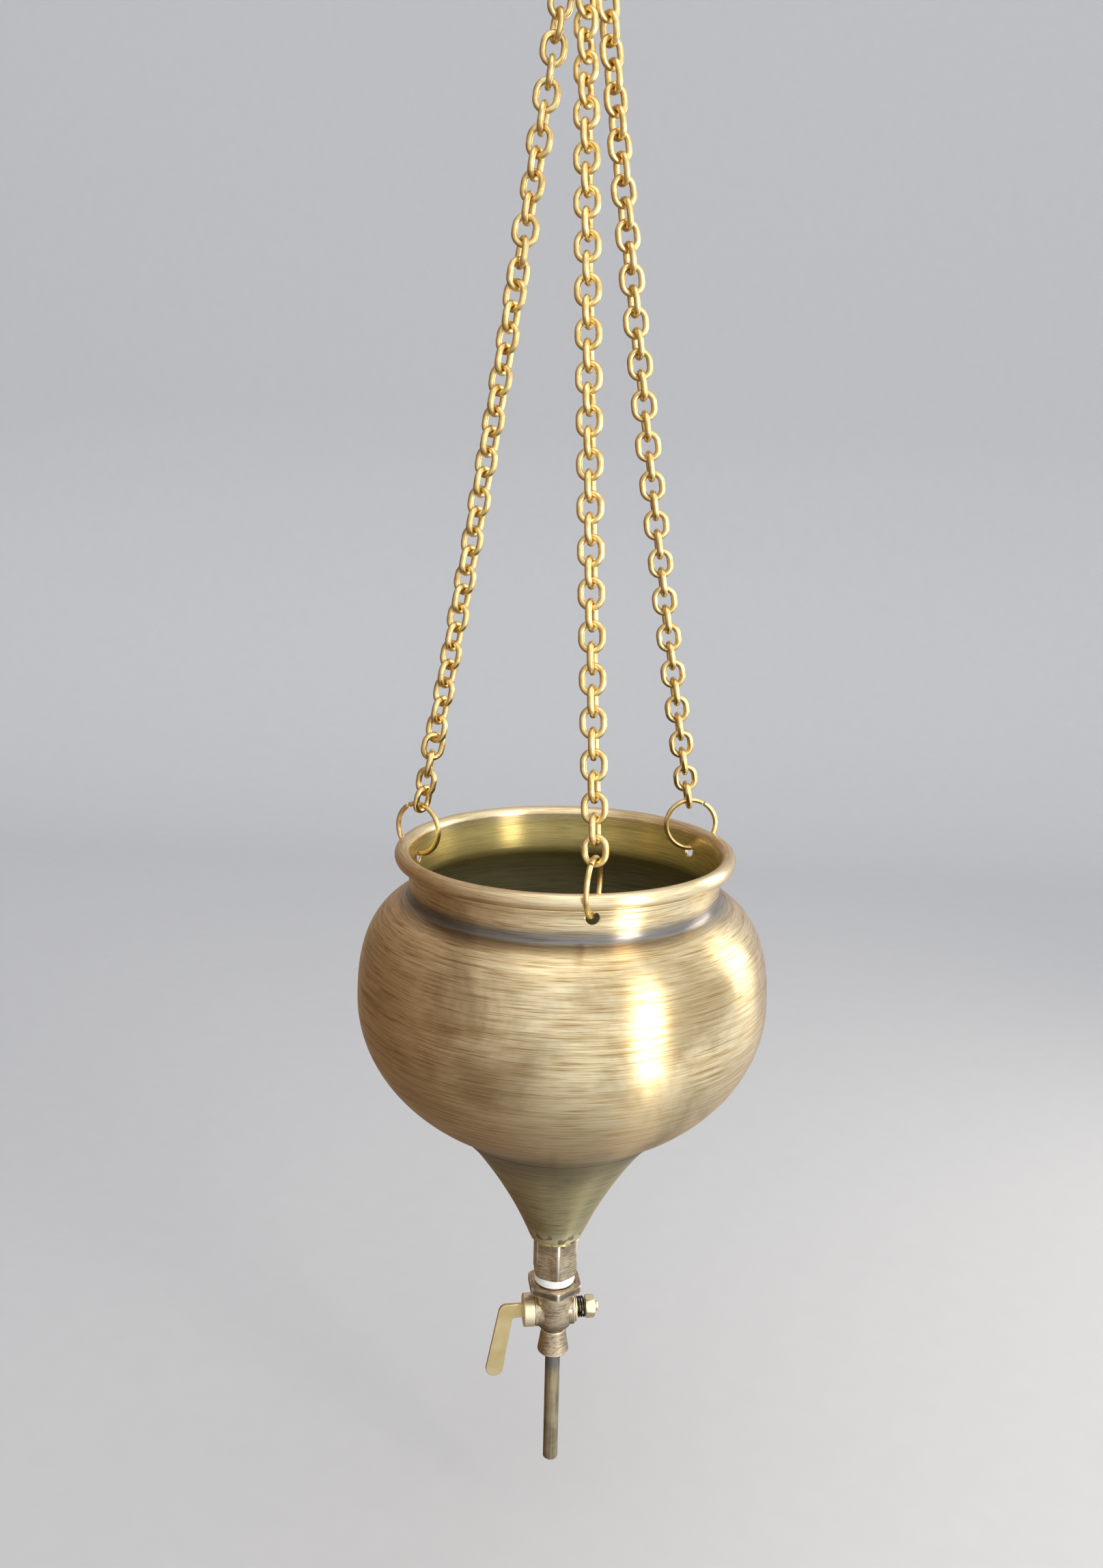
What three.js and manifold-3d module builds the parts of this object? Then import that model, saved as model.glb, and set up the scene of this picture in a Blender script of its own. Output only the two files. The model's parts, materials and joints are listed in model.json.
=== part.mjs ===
// Shirodhara pot: a spun brass oil pot that hangs on three chains and lets a thin
// stream of oil run out of a plug valve and a drip tube below it.
// Millimetres, +Z up. The origin is the middle of the hook's upper bow, where a bar goes through.
import * as THREE from 'three';
import { mergeVertices } from 'three/addons/utils/BufferGeometryUtils.js';
import Module from 'manifold-3d';

const wasm = await Module();
wasm.setup();

// Sides of the round shapes
const POT_STEPS = 28;
const VALVE_STEPS = 24;
const STUD_STEPS = 16;
const PIN_STEPS = 12;
const CURVE_STEPS = 6; // of each long curve in an outline
const BEAD_STEPS = 8;
const ROUNDING_STEPS = 5;
const FILLET_STEPS = 2;

// Clearances
const GAP = 0.3; // between pieces that sit on or in each other
const MERGE = 0.16; // how far neighbouring links bite into each other, so a chain is one solid
const CUT = 1; // how far a cutting tool runs past the faces that it opens

// Sheet and rim of the pot. Heights are above the middle of the rim's bead.
const SHEET = 1.2;
const RIM_RADIUS = 83; // outside of the bead
const BEAD_WIDTH = 6;
const BEAD_HEIGHT = 7.6;
const NECK_TAPER = 1.4; // how much the neck's radius shrinks from the bead down to the shoulder
const NECK_LENGTH = 17;
const NECK_FILLET = 4.5;
const SHOULDER_SLOPE = 24; // degrees below the horizontal, where the shoulder leaves the neck
const SHOULDER_FULLNESS = 20; // how far the shoulder runs on before it bends down
const BELLY_RADIUS = 101.4;
const BELLY_DEPTH = 72; // below the rim, at the widest
const BELLY_ROUNDNESS = 24; // how far above the widest the side is still upright
const BASE_DEPTH = 78; // half height of the ellipse that the lower half follows
const SEAM_RADIUS = 54.5; // where the bowl ends and the funnel is brazed on
const BEAD_OPENING = 65; // degrees of the bead, turned inwards and down, that stay open
const HOLE_SINK = 3.6; // how far the tool of a neck hole runs into the neck

// Funnel
const FUNNEL_END_RADIUS = 14.2;
const FUNNEL_DEPTH = 207.2; // of its lower end, below the rim
const FUNNEL_BEND_RADIUS = 27;
const FUNNEL_BEND_RISE = 35; // of the bend's control point, above the lower end
const FUNNEL_LIP_ROUND = 2.2;
const COLLAR_HEIGHT = 3; // of the funnel's rim inside the bowl

// Holes and jump rings of the three chains
const HOLE_DEPTH = 8.5; // of a hole's middle, below the rim
const HOLE_DIAMETER = 6;
const FRONT_AZIMUTH = -77; // degrees from +X towards +Y, where the chains hang
const RIGHT_AZIMUTH = 35;
const LEFT_AZIMUTH = 171;
const FRONT_SWIVEL = -24; // degrees by which each jump ring is swivelled in its hole
const RIGHT_SWIVEL = -28;
const LEFT_SWIVEL = -20;
const RING_OUTSIDE = 28;
const RING_WIRE = 2.5;
const RING_STEPS = 20;
const RING_SIDES = 5;
const RING_SPLIT = 0.8; // width of the cut in a jump ring
const RING_SPLIT_ANGLE = 62; // degrees up from the outward side

// Chains
const LINKS = 43;
const LINK_PITCH = 9.25;
const LINK_WIRE = 3;
const LINK_WIDTH = 12.3;
const LINK_STEPS = 8; // round a link's length
const LINK_SIDES = 4; // round its wire
const CHAIN_SAG = 3;
const LEFT_PLACE = -6.9; // of each chain's top link along the gathering ring
const FRONT_PLACE = -1.3;
const RIGHT_PLACE = 5.4;
const TOP_TURN = 45; // degrees by which the second link from the top is turned aside

// Gathering ring and hook
const GATHER_OUTSIDE = 33.2;
const GATHER_WIRE = 3.2;
const GATHER_STEPS = 24;
const GATHER_SIDES = 6;
const HOOK_WIRE = 4;
const HOOK_BAR = 24; // room for the bar that the hook hangs on
const HOOK_EYE = 16; // room in the lower bow
const HOOK_SPAN = 46; // between the middles of the two bows
const HOOK_MOUTH = 35; // degrees past the level that each bow's tip still rises
const HOOK_SHANK = 20; // degrees past the level where the shank leaves each bow
const HOOK_STEPS = 32;
const HOOK_SIDES = 6;
const BOW_STEPS = 13;

// Hexagonal socket, tape and valve. The whole valve is turned a little about the pot's axis.
const VALVE_TURN = 12;
const SOCKET_FLATS = 21.5;
const SOCKET_LENGTH = 21.1;
const SPIGOT_RADIUS = 9;
const SPIGOT_RISE = 3;
const SPIGOT_BORE = 8.4;
const THREAD_RADIUS = 8.35;
const THREAD_DEPTH = 11; // of the male end inside the socket
const TAPE_RADIUS = 10.6;
const TAPE_HEIGHT = 4.8;
const FLANGE_FLATS = 26.4;
const FLANGE_HEIGHT = 4;
const OIL_BORE = 6;
const BARREL_RADIUS = 10.3;
const BARREL_LENGTH = 16; // straight part, from the flange down
const BARREL_ROUND = 7; // height of the rounding under it
const WAIST_RADIUS = 6.3;
const WAIST_LENGTH = 1.4;
const FLARE_RADIUS = 8.3;
const FLARE_LENGTH = 12.6;
const OUTLET_RADIUS = 7.9;
const OUTLET_BEVEL = 0.6;

// Plug, its handle and its spring, along the plug's own axis
const PLUG_DROP = 13.3; // of the plug's axis below the flange
const BOSS_RADIUS = 8.4;
const BOSS_HALF = 10.4; // from the pot's axis to each face of the boss
const PLUG_LARGE_RADIUS = 6.9;
const PLUG_SMALL_RADIUS = 5.6;
const PLUG_BORE = 4.6;
const HEAD_RADIUS = 8.5;
const HEAD_THICKNESS = 5.8;
const STUD_RADIUS = 2.6;
const STUD_END = 23.8; // from the pot's axis
const STUD_BEVEL = 1;
const WASHER_RADIUS = 7.3;
const WASHER_THICKNESS = 0.9;
const SPRING_LENGTH = 4.5;
const SPRING_RADIUS = 5;
const SPRING_WIRE = 0.9;
const SPRING_CURLS = 2.75;
const CURL_STEPS = 8;
const CURL_SIDES = 5;
const NUT_FLATS = 10.4;
const NUT_THICKNESS = 4.8;
const LEVER_THICKNESS = 2;
const LEVER_STEM = 8; // height of the stem
const LEVER_REACH = 25.4; // from the pot's axis to the middle of the bend
const LEVER_TANG = 4; // how deep the stem goes into the head
const LEVER_LENGTH = 38.6; // from the plug's axis to the tip
const LEVER_SLANT = 10; // degrees that the blade leans outwards
const LEVER_ROOT_HALF = 4;
const LEVER_TIP_HALF = 4.6;
const LEVER_BEND_ROUND = 2.2;
const PIN_RADIUS = 0.9;
const PIN_SINK = 0.6; // of the pin's ends below the head's side

// Drip tube
const TUBE_RADIUS = 4.05;
const TUBE_BORE = 5;
const TUBE_SEAT = 12; // depth of the tube inside the outlet
const TUBE_DROP = 66; // of its end below the outlet

const rad = THREE.MathUtils.degToRad;

/** A material of one colour. */
function finish(color, roughness, metalness) {
  return new THREE.MeshStandardMaterial({ color, roughness, metalness });
}

const brushedBrass = finish(0xb08d57, 0.42, 1);
const darkBrass = finish(0x8a7448, 0.48, 1);
const brightBrass = finish(0xd8b873, 0.28, 1);
const agedBrass = finish(0x8c7556, 0.45, 1);
const polishedBrass = finish(0xdcc07a, 0.2, 1);
const blackSteel = finish(0x1c1b1a, 0.5, 0.8);
const whiteTape = finish(0xf2f1ec, 0.7, 0);
const tubeBrass = finish(0x7d6a45, 0.5, 1);

// Solid modelling

/** A manifold solid of a closed three.js geometry. */
function solid(geometry) {
  const bare = geometry.clone();
  bare.deleteAttribute('normal');
  bare.deleteAttribute('uv');
  const welded = mergeVertices(bare, 1e-4);
  const mesh = new wasm.Mesh({
    numProp: 3,
    vertProperties: new Float32Array(welded.attributes.position.array),
    triVerts: new Uint32Array(welded.index.array),
  });
  return new wasm.Manifold(mesh);
}

/** A three.js geometry of a manifold solid. */
function geometryOf(manifold) {
  const mesh = manifold.getMesh();
  const geometry = new THREE.BufferGeometry();
  geometry.setAttribute('position', new THREE.BufferAttribute(new Float32Array(mesh.vertProperties), 3));
  geometry.setIndex(new THREE.BufferAttribute(new Uint32Array(mesh.triVerts), 1));
  geometry.computeVertexNormals();
  return geometry;
}

/** The first geometry joined with more, then cut by others. */
function shaped(base, joined = [], cut = []) {
  let result = solid(base);
  for (const geometry of joined) {
    result = result.add(solid(geometry));
  }
  for (const geometry of cut) {
    result = result.subtract(solid(geometry));
  }
  return geometryOf(result);
}

/** A named mesh. */
function piece(name, geometry, material) {
  const mesh = new THREE.Mesh(geometry, material);
  mesh.name = name;
  return mesh;
}

/** A solid of revolution about Z from [radius, height] points that close on themselves. */
function turned(points, steps = POT_STEPS) {
  const outline = points.map(([radius, height]) => new THREE.Vector2(Math.max(radius, 0), height));
  if (outline[0].x > 0) {
    outline.push(outline[0].clone());
  }
  const geometry = new THREE.LatheGeometry(outline, steps);
  geometry.rotateX(Math.PI / 2);
  return geometry;
}

/** An upright round bar between two heights, with its own radius at each end. */
function bar(radius, low, high, steps = VALVE_STEPS, highRadius = radius) {
  const geometry = new THREE.CylinderGeometry(highRadius, radius, high - low, steps);
  geometry.rotateX(Math.PI / 2);
  geometry.translate(0, 0, (low + high) / 2);
  return geometry;
}

/** A round bar along X between two places, with its own radius at each end. */
function crossBar(radius, from, to, steps = VALVE_STEPS, toRadius = radius) {
  return bar(radius, from, to, steps, toRadius).rotateY(Math.PI / 2);
}

/** An upright hexagon bar between two heights, a corner towards -Y. */
function hexBar(flats, low, high) {
  return bar(flats / 2 / Math.cos(Math.PI / 6), low, high, 6);
}

/** A round wire along a curve, with flat ends. */
function wire(curve, diameter, steps, sides) {
  const section = new THREE.Shape();
  for (let side = 0; side < sides; side += 1) {
    const turn = (2 * Math.PI * side) / sides;
    const corner = [(diameter / 2) * Math.cos(turn), (diameter / 2) * Math.sin(turn)];
    if (side === 0) {
      section.moveTo(...corner);
    } else {
      section.lineTo(...corner);
    }
  }
  return new THREE.ExtrudeGeometry(section, { steps, extrudePath: curve, bevelEnabled: false });
}

/** Points moved sideways by a distance, to the left of the way that they run. */
function offset(points, distance) {
  return points.map((point, index) => {
    const before = points[Math.max(index - 1, 0)];
    const after = points[Math.min(index + 1, points.length - 1)];
    const run = Math.hypot(after[0] - before[0], after[1] - before[1]);
    return [
      point[0] - (distance * (after[1] - before[1])) / run,
      point[1] + (distance * (after[0] - before[0])) / run,
    ];
  });
}

/** Points of an arc of an ellipse, from one angle to another in degrees. */
function arc([middleX, middleY], [halfX, halfY], from, to, steps) {
  return Array.from({ length: steps + 1 }, (_, step) => {
    const turn = rad(from + ((to - from) * step) / steps);
    return [middleX + halfX * Math.cos(turn), middleY + halfY * Math.sin(turn)];
  });
}

/** Points of a Bezier curve through its control points. */
function bezier(controls, steps) {
  const vectors = controls.map(([x, y]) => new THREE.Vector2(x, y));
  const curve = vectors.length === 3
    ? new THREE.QuadraticBezierCurve(...vectors)
    : new THREE.CubicBezierCurve(...vectors);
  return curve.getPoints(steps).map((point) => [point.x, point.y]);
}

// Bowl: neck, shoulder, belly and base in one spun sheet, with a rolled rim
const neckTopRadius = RIM_RADIUS - BEAD_WIDTH;
const neckRadius = neckTopRadius - NECK_TAPER;
const seamAngle = (Math.acos(SEAM_RADIUS / BELLY_RADIUS) * 180) / Math.PI;
const seamHeight = -BELLY_DEPTH - BASE_DEPTH * Math.sin(rad(seamAngle));
const filletMiddle = [neckRadius + NECK_FILLET, -NECK_LENGTH];
const shoulderStart = [
  filletMiddle[0] - NECK_FILLET * Math.sin(rad(SHOULDER_SLOPE)),
  filletMiddle[1] - NECK_FILLET * Math.cos(rad(SHOULDER_SLOPE)),
];
const beadMiddle = [RIM_RADIUS - BEAD_WIDTH / 2, 0];

/** The outside of the bowl from the seam up to the neck, as [radius, height] points. */
function bowlOutside() {
  const base = arc([0, -BELLY_DEPTH], [BELLY_RADIUS, BASE_DEPTH], -seamAngle, 0, CURVE_STEPS);
  const shoulder = bezier([
    [BELLY_RADIUS, -BELLY_DEPTH],
    [BELLY_RADIUS, BELLY_ROUNDNESS - BELLY_DEPTH],
    [
      shoulderStart[0] + SHOULDER_FULLNESS * Math.cos(rad(SHOULDER_SLOPE)),
      shoulderStart[1] - SHOULDER_FULLNESS * Math.sin(rad(SHOULDER_SLOPE)),
    ],
    shoulderStart,
  ], CURVE_STEPS);
  const fillet = arc(filletMiddle, [NECK_FILLET, NECK_FILLET], 270 - SHOULDER_SLOPE, 180, FILLET_STEPS);
  return [...base, ...shoulder.slice(1), ...fillet.slice(1)];
}

/** The bowl with its rolled rim and the three holes for the jump rings. */
function bowlGeometry() {
  const outside = bowlOutside();
  const bead = arc(beadMiddle, [BEAD_WIDTH / 2, BEAD_HEIGHT / 2], BEAD_OPENING - 180, 180, BEAD_STEPS);
  const inside = offset(outside, SHEET).reverse();
  inside[inside.length - 1] = [innerSeamRadius(outside), seamHeight];
  const underBead = [neckTopRadius, -BEAD_HEIGHT / 2 + SHEET / 2];
  const lipInside = [neckTopRadius - SHEET, -BEAD_HEIGHT / 2];
  const shell = turned([...outside, underBead, ...bead.slice(1), lipInside, ...inside]);
  const holes = CHAINS.map(({ azimuth }) => {
    const hole = crossBar(HOLE_DIAMETER / 2, neckRadius - HOLE_SINK, neckTopRadius + CUT, PIN_STEPS);
    return hole.translate(0, 0, -HOLE_DEPTH).rotateZ(rad(azimuth));
  });
  return shaped(shell, [], holes);
}

/** Radius of the bowl's inside at the level of the seam. */
function innerSeamRadius(outside) {
  const [[radius, height], [nextRadius, nextHeight]] = offset(outside, SHEET);
  const share = (seamHeight - height) / (nextHeight - height);
  return radius + share * (nextRadius - radius);
}

/** The funnel: a spun cone with a collar inside the bowl and a turned-in lower end. */
function funnelGeometry() {
  const top = seamHeight - GAP;
  const end = -FUNNEL_DEPTH;
  const side = bezier([
    [SEAM_RADIUS, top],
    [FUNNEL_BEND_RADIUS, end + FUNNEL_BEND_RISE],
    [FUNNEL_END_RADIUS, end + FUNNEL_LIP_ROUND],
  ], CURVE_STEPS);
  const outside = [...side.reverse()];
  const inside = offset(outside, SHEET).reverse();
  const collar = innerSeamRadius(bowlOutside()) - GAP;
  const hole = SPIGOT_RADIUS + GAP;
  inside[0] = [collar - SHEET, top - SHEET];
  inside[inside.length - 1] = [FUNNEL_END_RADIUS - SHEET, end + SHEET];
  return turned([
    [hole, end],
    [FUNNEL_END_RADIUS - FUNNEL_LIP_ROUND / 2, end],
    ...outside,
    [collar, top],
    [collar, top + COLLAR_HEIGHT],
    [collar - SHEET, top + COLLAR_HEIGHT],
    ...inside,
    [hole, end + SHEET],
  ]);
}

// Jump rings: each goes through a hole of the neck and round the bead
const ringMean = (RING_OUTSIDE - RING_WIRE) / 2;
const holeRadius = (neckTopRadius + neckRadius - SHEET) / 2;
const ringLift = HOLE_DIAMETER / 2 - GAP - RING_WIRE / 2;
const ringHeight = ringLift + ringMean - HOLE_DEPTH;

/** The middle of a jump ring that stands in the hole at an azimuth. */
function ringPlace(azimuth) {
  const turn = rad(azimuth);
  return new THREE.Vector3(holeRadius * Math.cos(turn), holeRadius * Math.sin(turn), ringHeight);
}

/** A jump ring standing upright about its own middle, in the plane of X and Z. */
function jumpRingGeometry() {
  const half = RING_SPLIT / 2 / ringMean;
  const from = rad(RING_SPLIT_ANGLE) + half;
  const sweep = 2 * Math.PI - 2 * half;
  const points = Array.from({ length: RING_STEPS + 1 }, (_, step) => {
    const turn = from + (sweep * step) / RING_STEPS;
    return new THREE.Vector3(ringMean * Math.cos(turn), 0, ringMean * Math.sin(turn));
  });
  return wire(new THREE.CatmullRomCurve3(points), RING_WIRE, RING_STEPS, RING_SIDES);
}

// Chains: each runs from the top of a jump ring to the gathering ring
const CHAINS = [
  { name: 'front', azimuth: FRONT_AZIMUTH, swivel: FRONT_SWIVEL, place: FRONT_PLACE },
  { name: 'right', azimuth: RIGHT_AZIMUTH, swivel: RIGHT_SWIVEL, place: RIGHT_PLACE },
  { name: 'left', azimuth: LEFT_AZIMUTH, swivel: LEFT_SWIVEL, place: LEFT_PLACE },
];
// How far each chain is twisted, as [link counted from the bottom, degrees].
const CHAIN_TWISTS = {
  front: [[0, 0], [32, 0]],
  right: [[0, 0], [20, 0]],
  left: [[1, 0], [4, 90], [26, 90], [31, 0]],
};
const gatherMean = (GATHER_OUTSIDE - GATHER_WIRE) / 2;
const lowerReach = GAP + (RING_WIRE + LINK_WIRE) / 2;
const upperReach = GAP + (GATHER_WIRE + LINK_WIRE) / 2;
const chainLength = LINKS * LINK_PITCH + LINK_WIRE - lowerReach - upperReach;
const gatherReach = chainLength + ringMean;
// The chains' length settles how high the gathering ring is above the rim.
const gatherLow = ringHeight + Math.sqrt(gatherReach ** 2 - holeRadius ** 2);
const gatherHeight = gatherLow + gatherMean;

/** The middle of the gathering ring's wire at a distance along X. */
function gatherPoint(x) {
  return new THREE.Vector3(x, 0, gatherHeight - Math.sqrt(gatherMean ** 2 - x ** 2));
}

/** The twist of a chain at a link, in degrees, eased along the chain's list. */
function twistAt(name, facing, link) {
  const known = CHAIN_TWISTS[name];
  const [lastLink, lastTwist] = known[known.length - 1];
  const level = -facing + 180 * Math.round((facing + lastTwist - TOP_TURN) / 180);
  const all = [...known, [LINKS - 2, level + TOP_TURN], [LINKS - 1, level]];
  if (link <= all[0][0]) {
    return all[0][1];
  }
  const next = all.findIndex(([place]) => place >= link);
  const [beforeLink, beforeTwist] = all[next - 1];
  const [afterLink, afterTwist] = all[next];
  return beforeTwist + ((afterTwist - beforeTwist) * (link - beforeLink)) / (afterLink - beforeLink);
}

/** The middle of a jump ring's wire where a chain that pulls towards a target bears on it. */
function bearingPoint(middle, facing, target) {
  const outward = new THREE.Vector3(Math.cos(rad(facing)), Math.sin(rad(facing)), 0);
  const pull = target.clone().sub(middle);
  const inPlane = outward.clone().multiplyScalar(pull.dot(outward)).setZ(pull.z).normalize();
  return middle.clone().addScaledVector(inPlane, ringMean);
}

/** One oval link that lies along X, its width along Y. */
function linkGeometry(pitch) {
  const bow = (LINK_WIDTH - LINK_WIRE) / 2;
  const stretch = (pitch + LINK_WIRE - MERGE) / 2 - bow;
  const link = new THREE.TorusGeometry(bow, LINK_WIRE / 2, LINK_SIDES, LINK_STEPS);
  const place = link.attributes.position;
  for (let index = 0; index < place.count; index += 1) {
    const x = place.getX(index);
    if (Math.abs(x) > LINK_WIRE / 100) {
      place.setX(index, x + Math.sign(x) * stretch);
    }
  }
  return link;
}

/** A chain from its jump ring up to the gathering ring, its links joined where they bear. */
function chainGeometry({ name, azimuth, swivel, place: topPlace }) {
  const facing = azimuth + swivel;
  const high = gatherPoint(topPlace);
  const low = bearingPoint(ringPlace(azimuth), facing, high);
  const along = high.clone().sub(low).normalize();
  const reach = low.distanceTo(high) + lowerReach + upperReach - LINK_WIRE;
  const pitch = reach / LINKS;
  const start = low.clone().addScaledVector(along, -lowerReach + LINK_WIRE / 2);
  const down = new THREE.Vector3(0, 0, -1);
  const sagWay = down.clone().addScaledVector(along, -down.dot(along)).normalize();
  const link = linkGeometry(pitch);
  let chain = null;
  for (let index = 0; index < LINKS; index += 1) {
    const share = (index + 0.5) / LINKS;
    const tangent = along.clone()
      .addScaledVector(sagWay, (4 * CHAIN_SAG * (1 - 2 * share)) / reach)
      .normalize();
    const middle = start.clone()
      .addScaledVector(along, reach * share)
      .addScaledVector(sagWay, 4 * CHAIN_SAG * share * (1 - share));
    const turn = rad(facing + 90 * (index + 1) + twistAt(name, facing, index));
    const width = new THREE.Vector3(Math.cos(turn), Math.sin(turn), 0)
      .projectOnPlane(tangent)
      .normalize();
    const thick = tangent.clone().cross(width);
    const place = new THREE.Matrix4().makeBasis(tangent, width, thick).setPosition(middle);
    const next = solid(link.clone().applyMatrix4(place));
    chain = chain === null ? next : chain.add(next);
  }
  return geometryOf(chain);
}

/** The gathering ring, upright across the hook. */
function gatherGeometry() {
  const ring = new THREE.TorusGeometry(gatherMean, GATHER_WIRE / 2, GATHER_SIDES, GATHER_STEPS);
  return ring.rotateX(Math.PI / 2).translate(0, 0, gatherHeight);
}

// Hook: an S of round bar. Its lower bow carries the gathering ring.
const upperBow = (HOOK_BAR + HOOK_WIRE) / 2;
const lowerBow = (HOOK_EYE + HOOK_WIRE) / 2;
const gatherTop = gatherHeight + gatherMean;
const hookSeat = gatherTop - GAP - (GATHER_WIRE + HOOK_WIRE) / 2;
// Everything hangs this far below the origin.
const rimHeight = -(hookSeat + lowerBow + HOOK_SPAN);

/** The S hook, with the middle of its upper bow at the origin. */
function hookGeometry() {
  const upper = arc([0, 0], [upperBow, upperBow], 180 + HOOK_MOUTH, -HOOK_SHANK, BOW_STEPS);
  const lower = arc([0, -HOOK_SPAN], [lowerBow, lowerBow], 180 - HOOK_SHANK, 360 + HOOK_MOUTH, BOW_STEPS);
  const points = [...upper, ...lower].map(([y, z]) => new THREE.Vector3(0, y, z));
  return wire(new THREE.CatmullRomCurve3(points), HOOK_WIRE, HOOK_STEPS, HOOK_SIDES);
}

// Heights of the valve's pieces, below the rim
const socketTop = -FUNNEL_DEPTH - GAP;
const socketEnd = socketTop - SOCKET_LENGTH;
const tapeTop = socketEnd - GAP;
const flangeTop = tapeTop - TAPE_HEIGHT - GAP;
const flangeEnd = flangeTop - FLANGE_HEIGHT;
const plugHeight = flangeEnd - PLUG_DROP;
const barrelEnd = flangeEnd - BARREL_LENGTH;
const waistTop = barrelEnd - BARREL_ROUND;
const flareTop = waistTop - WAIST_LENGTH;
const bevelTop = flareTop - FLARE_LENGTH;
const outletEnd = bevelTop - OUTLET_BEVEL;
const tubeTop = outletEnd + TUBE_SEAT;
const tubeEnd = outletEnd - TUBE_DROP;

/** The hexagonal socket, with its spigot in the funnel and its female end below. */
function socketGeometry() {
  return shaped(
    hexBar(SOCKET_FLATS, socketEnd, socketTop),
    [bar(SPIGOT_RADIUS, socketTop - CUT, socketTop + GAP + SHEET + SPIGOT_RISE)],
    [
      bar(THREAD_RADIUS + GAP, socketEnd - CUT, socketEnd + THREAD_DEPTH + GAP),
      bar(SPIGOT_BORE / 2, socketEnd, socketTop + GAP + SHEET + SPIGOT_RISE + CUT, STUD_STEPS),
    ],
  );
}

/** The tape, wound round the male thread between the socket and the flange. */
function tapeGeometry() {
  const inside = THREAD_RADIUS + GAP;
  const low = tapeTop - TAPE_HEIGHT;
  return turned([
    [inside, low],
    [TAPE_RADIUS - GAP, low],
    [TAPE_RADIUS, low + TAPE_HEIGHT / 4],
    [TAPE_RADIUS, tapeTop - TAPE_HEIGHT / 4],
    [TAPE_RADIUS - GAP, tapeTop],
    [inside, tapeTop],
  ], VALVE_STEPS);
}

/** The valve's body: male end, hexagon flange, barrel with a cross boss, waist and outlet. */
function valveBodyGeometry() {
  const round = [BARREL_RADIUS - WAIST_RADIUS, BARREL_ROUND];
  const rounding = arc([WAIST_RADIUS, barrelEnd], round, 0, -90, ROUNDING_STEPS);
  const outside = turned([
    [0, socketEnd + THREAD_DEPTH],
    [THREAD_RADIUS, socketEnd + THREAD_DEPTH],
    [THREAD_RADIUS, flangeTop - FLANGE_HEIGHT / 2],
    [BARREL_RADIUS, flangeTop - FLANGE_HEIGHT / 2],
    ...rounding,
    [WAIST_RADIUS, flareTop],
    [FLARE_RADIUS, bevelTop],
    [OUTLET_RADIUS, outletEnd],
    [0, outletEnd],
  ].reverse(), VALVE_STEPS);
  const large = PLUG_LARGE_RADIUS + GAP;
  const small = PLUG_SMALL_RADIUS + GAP;
  const taper = ((large - small) * CUT) / (2 * BOSS_HALF);
  const seatReach = BOSS_HALF + CUT;
  const lift = (geometry) => geometry.translate(0, 0, plugHeight);
  return shaped(
    outside,
    [hexBar(FLANGE_FLATS, flangeEnd, flangeTop), lift(crossBar(BOSS_RADIUS, -BOSS_HALF, BOSS_HALF))],
    [
      lift(crossBar(large + taper, -seatReach, seatReach, VALVE_STEPS, small - taper)),
      bar(OIL_BORE / 2, outletEnd, socketEnd + THREAD_DEPTH + CUT, STUD_STEPS),
      bar(TUBE_RADIUS + GAP, outletEnd - CUT, tubeTop + GAP),
    ],
  );
}

// Places along the plug's axis
const headInner = -BOSS_HALF - GAP;
const headOuter = headInner - HEAD_THICKNESS;
const washerFrom = BOSS_HALF + GAP;
const springFrom = washerFrom + WASHER_THICKNESS + GAP;
const nutFrom = springFrom + SPRING_LENGTH + GAP;
const pinPlace = headOuter + LEVER_TANG / 2;

/** The taper plug: a slotted head on the left, a cross bore, and a stud on the right. */
function plugGeometry() {
  const slotHalf = LEVER_THICKNESS / 2 + GAP;
  const slotDepth = LEVER_TANG + GAP;
  const slot = new THREE.BoxGeometry(slotDepth + CUT, 2 * slotHalf, LEVER_STEM + 2 * GAP);
  slot.translate(headOuter + (slotDepth - CUT) / 2, 0, 0);
  return shaped(
    crossBar(PLUG_LARGE_RADIUS, -BOSS_HALF, BOSS_HALF, VALVE_STEPS, PLUG_SMALL_RADIUS),
    [
      crossBar(HEAD_RADIUS, headOuter, headInner),
      crossBar(PLUG_LARGE_RADIUS, headInner - CUT, -BOSS_HALF + GAP),
      crossBar(STUD_RADIUS, BOSS_HALF - CUT, STUD_END - STUD_BEVEL, STUD_STEPS),
      crossBar(STUD_RADIUS, STUD_END - STUD_BEVEL, STUD_END, STUD_STEPS, STUD_RADIUS - STUD_BEVEL),
    ],
    [
      slot,
      bar(PLUG_BORE / 2, -HEAD_RADIUS, HEAD_RADIUS, STUD_STEPS),
      bar(PIN_RADIUS + GAP, -HEAD_RADIUS - CUT, HEAD_RADIUS + CUT, PIN_STEPS)
        .rotateX(Math.PI / 2)
        .translate(pinPlace, 0, 0),
    ],
  );
}

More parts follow.
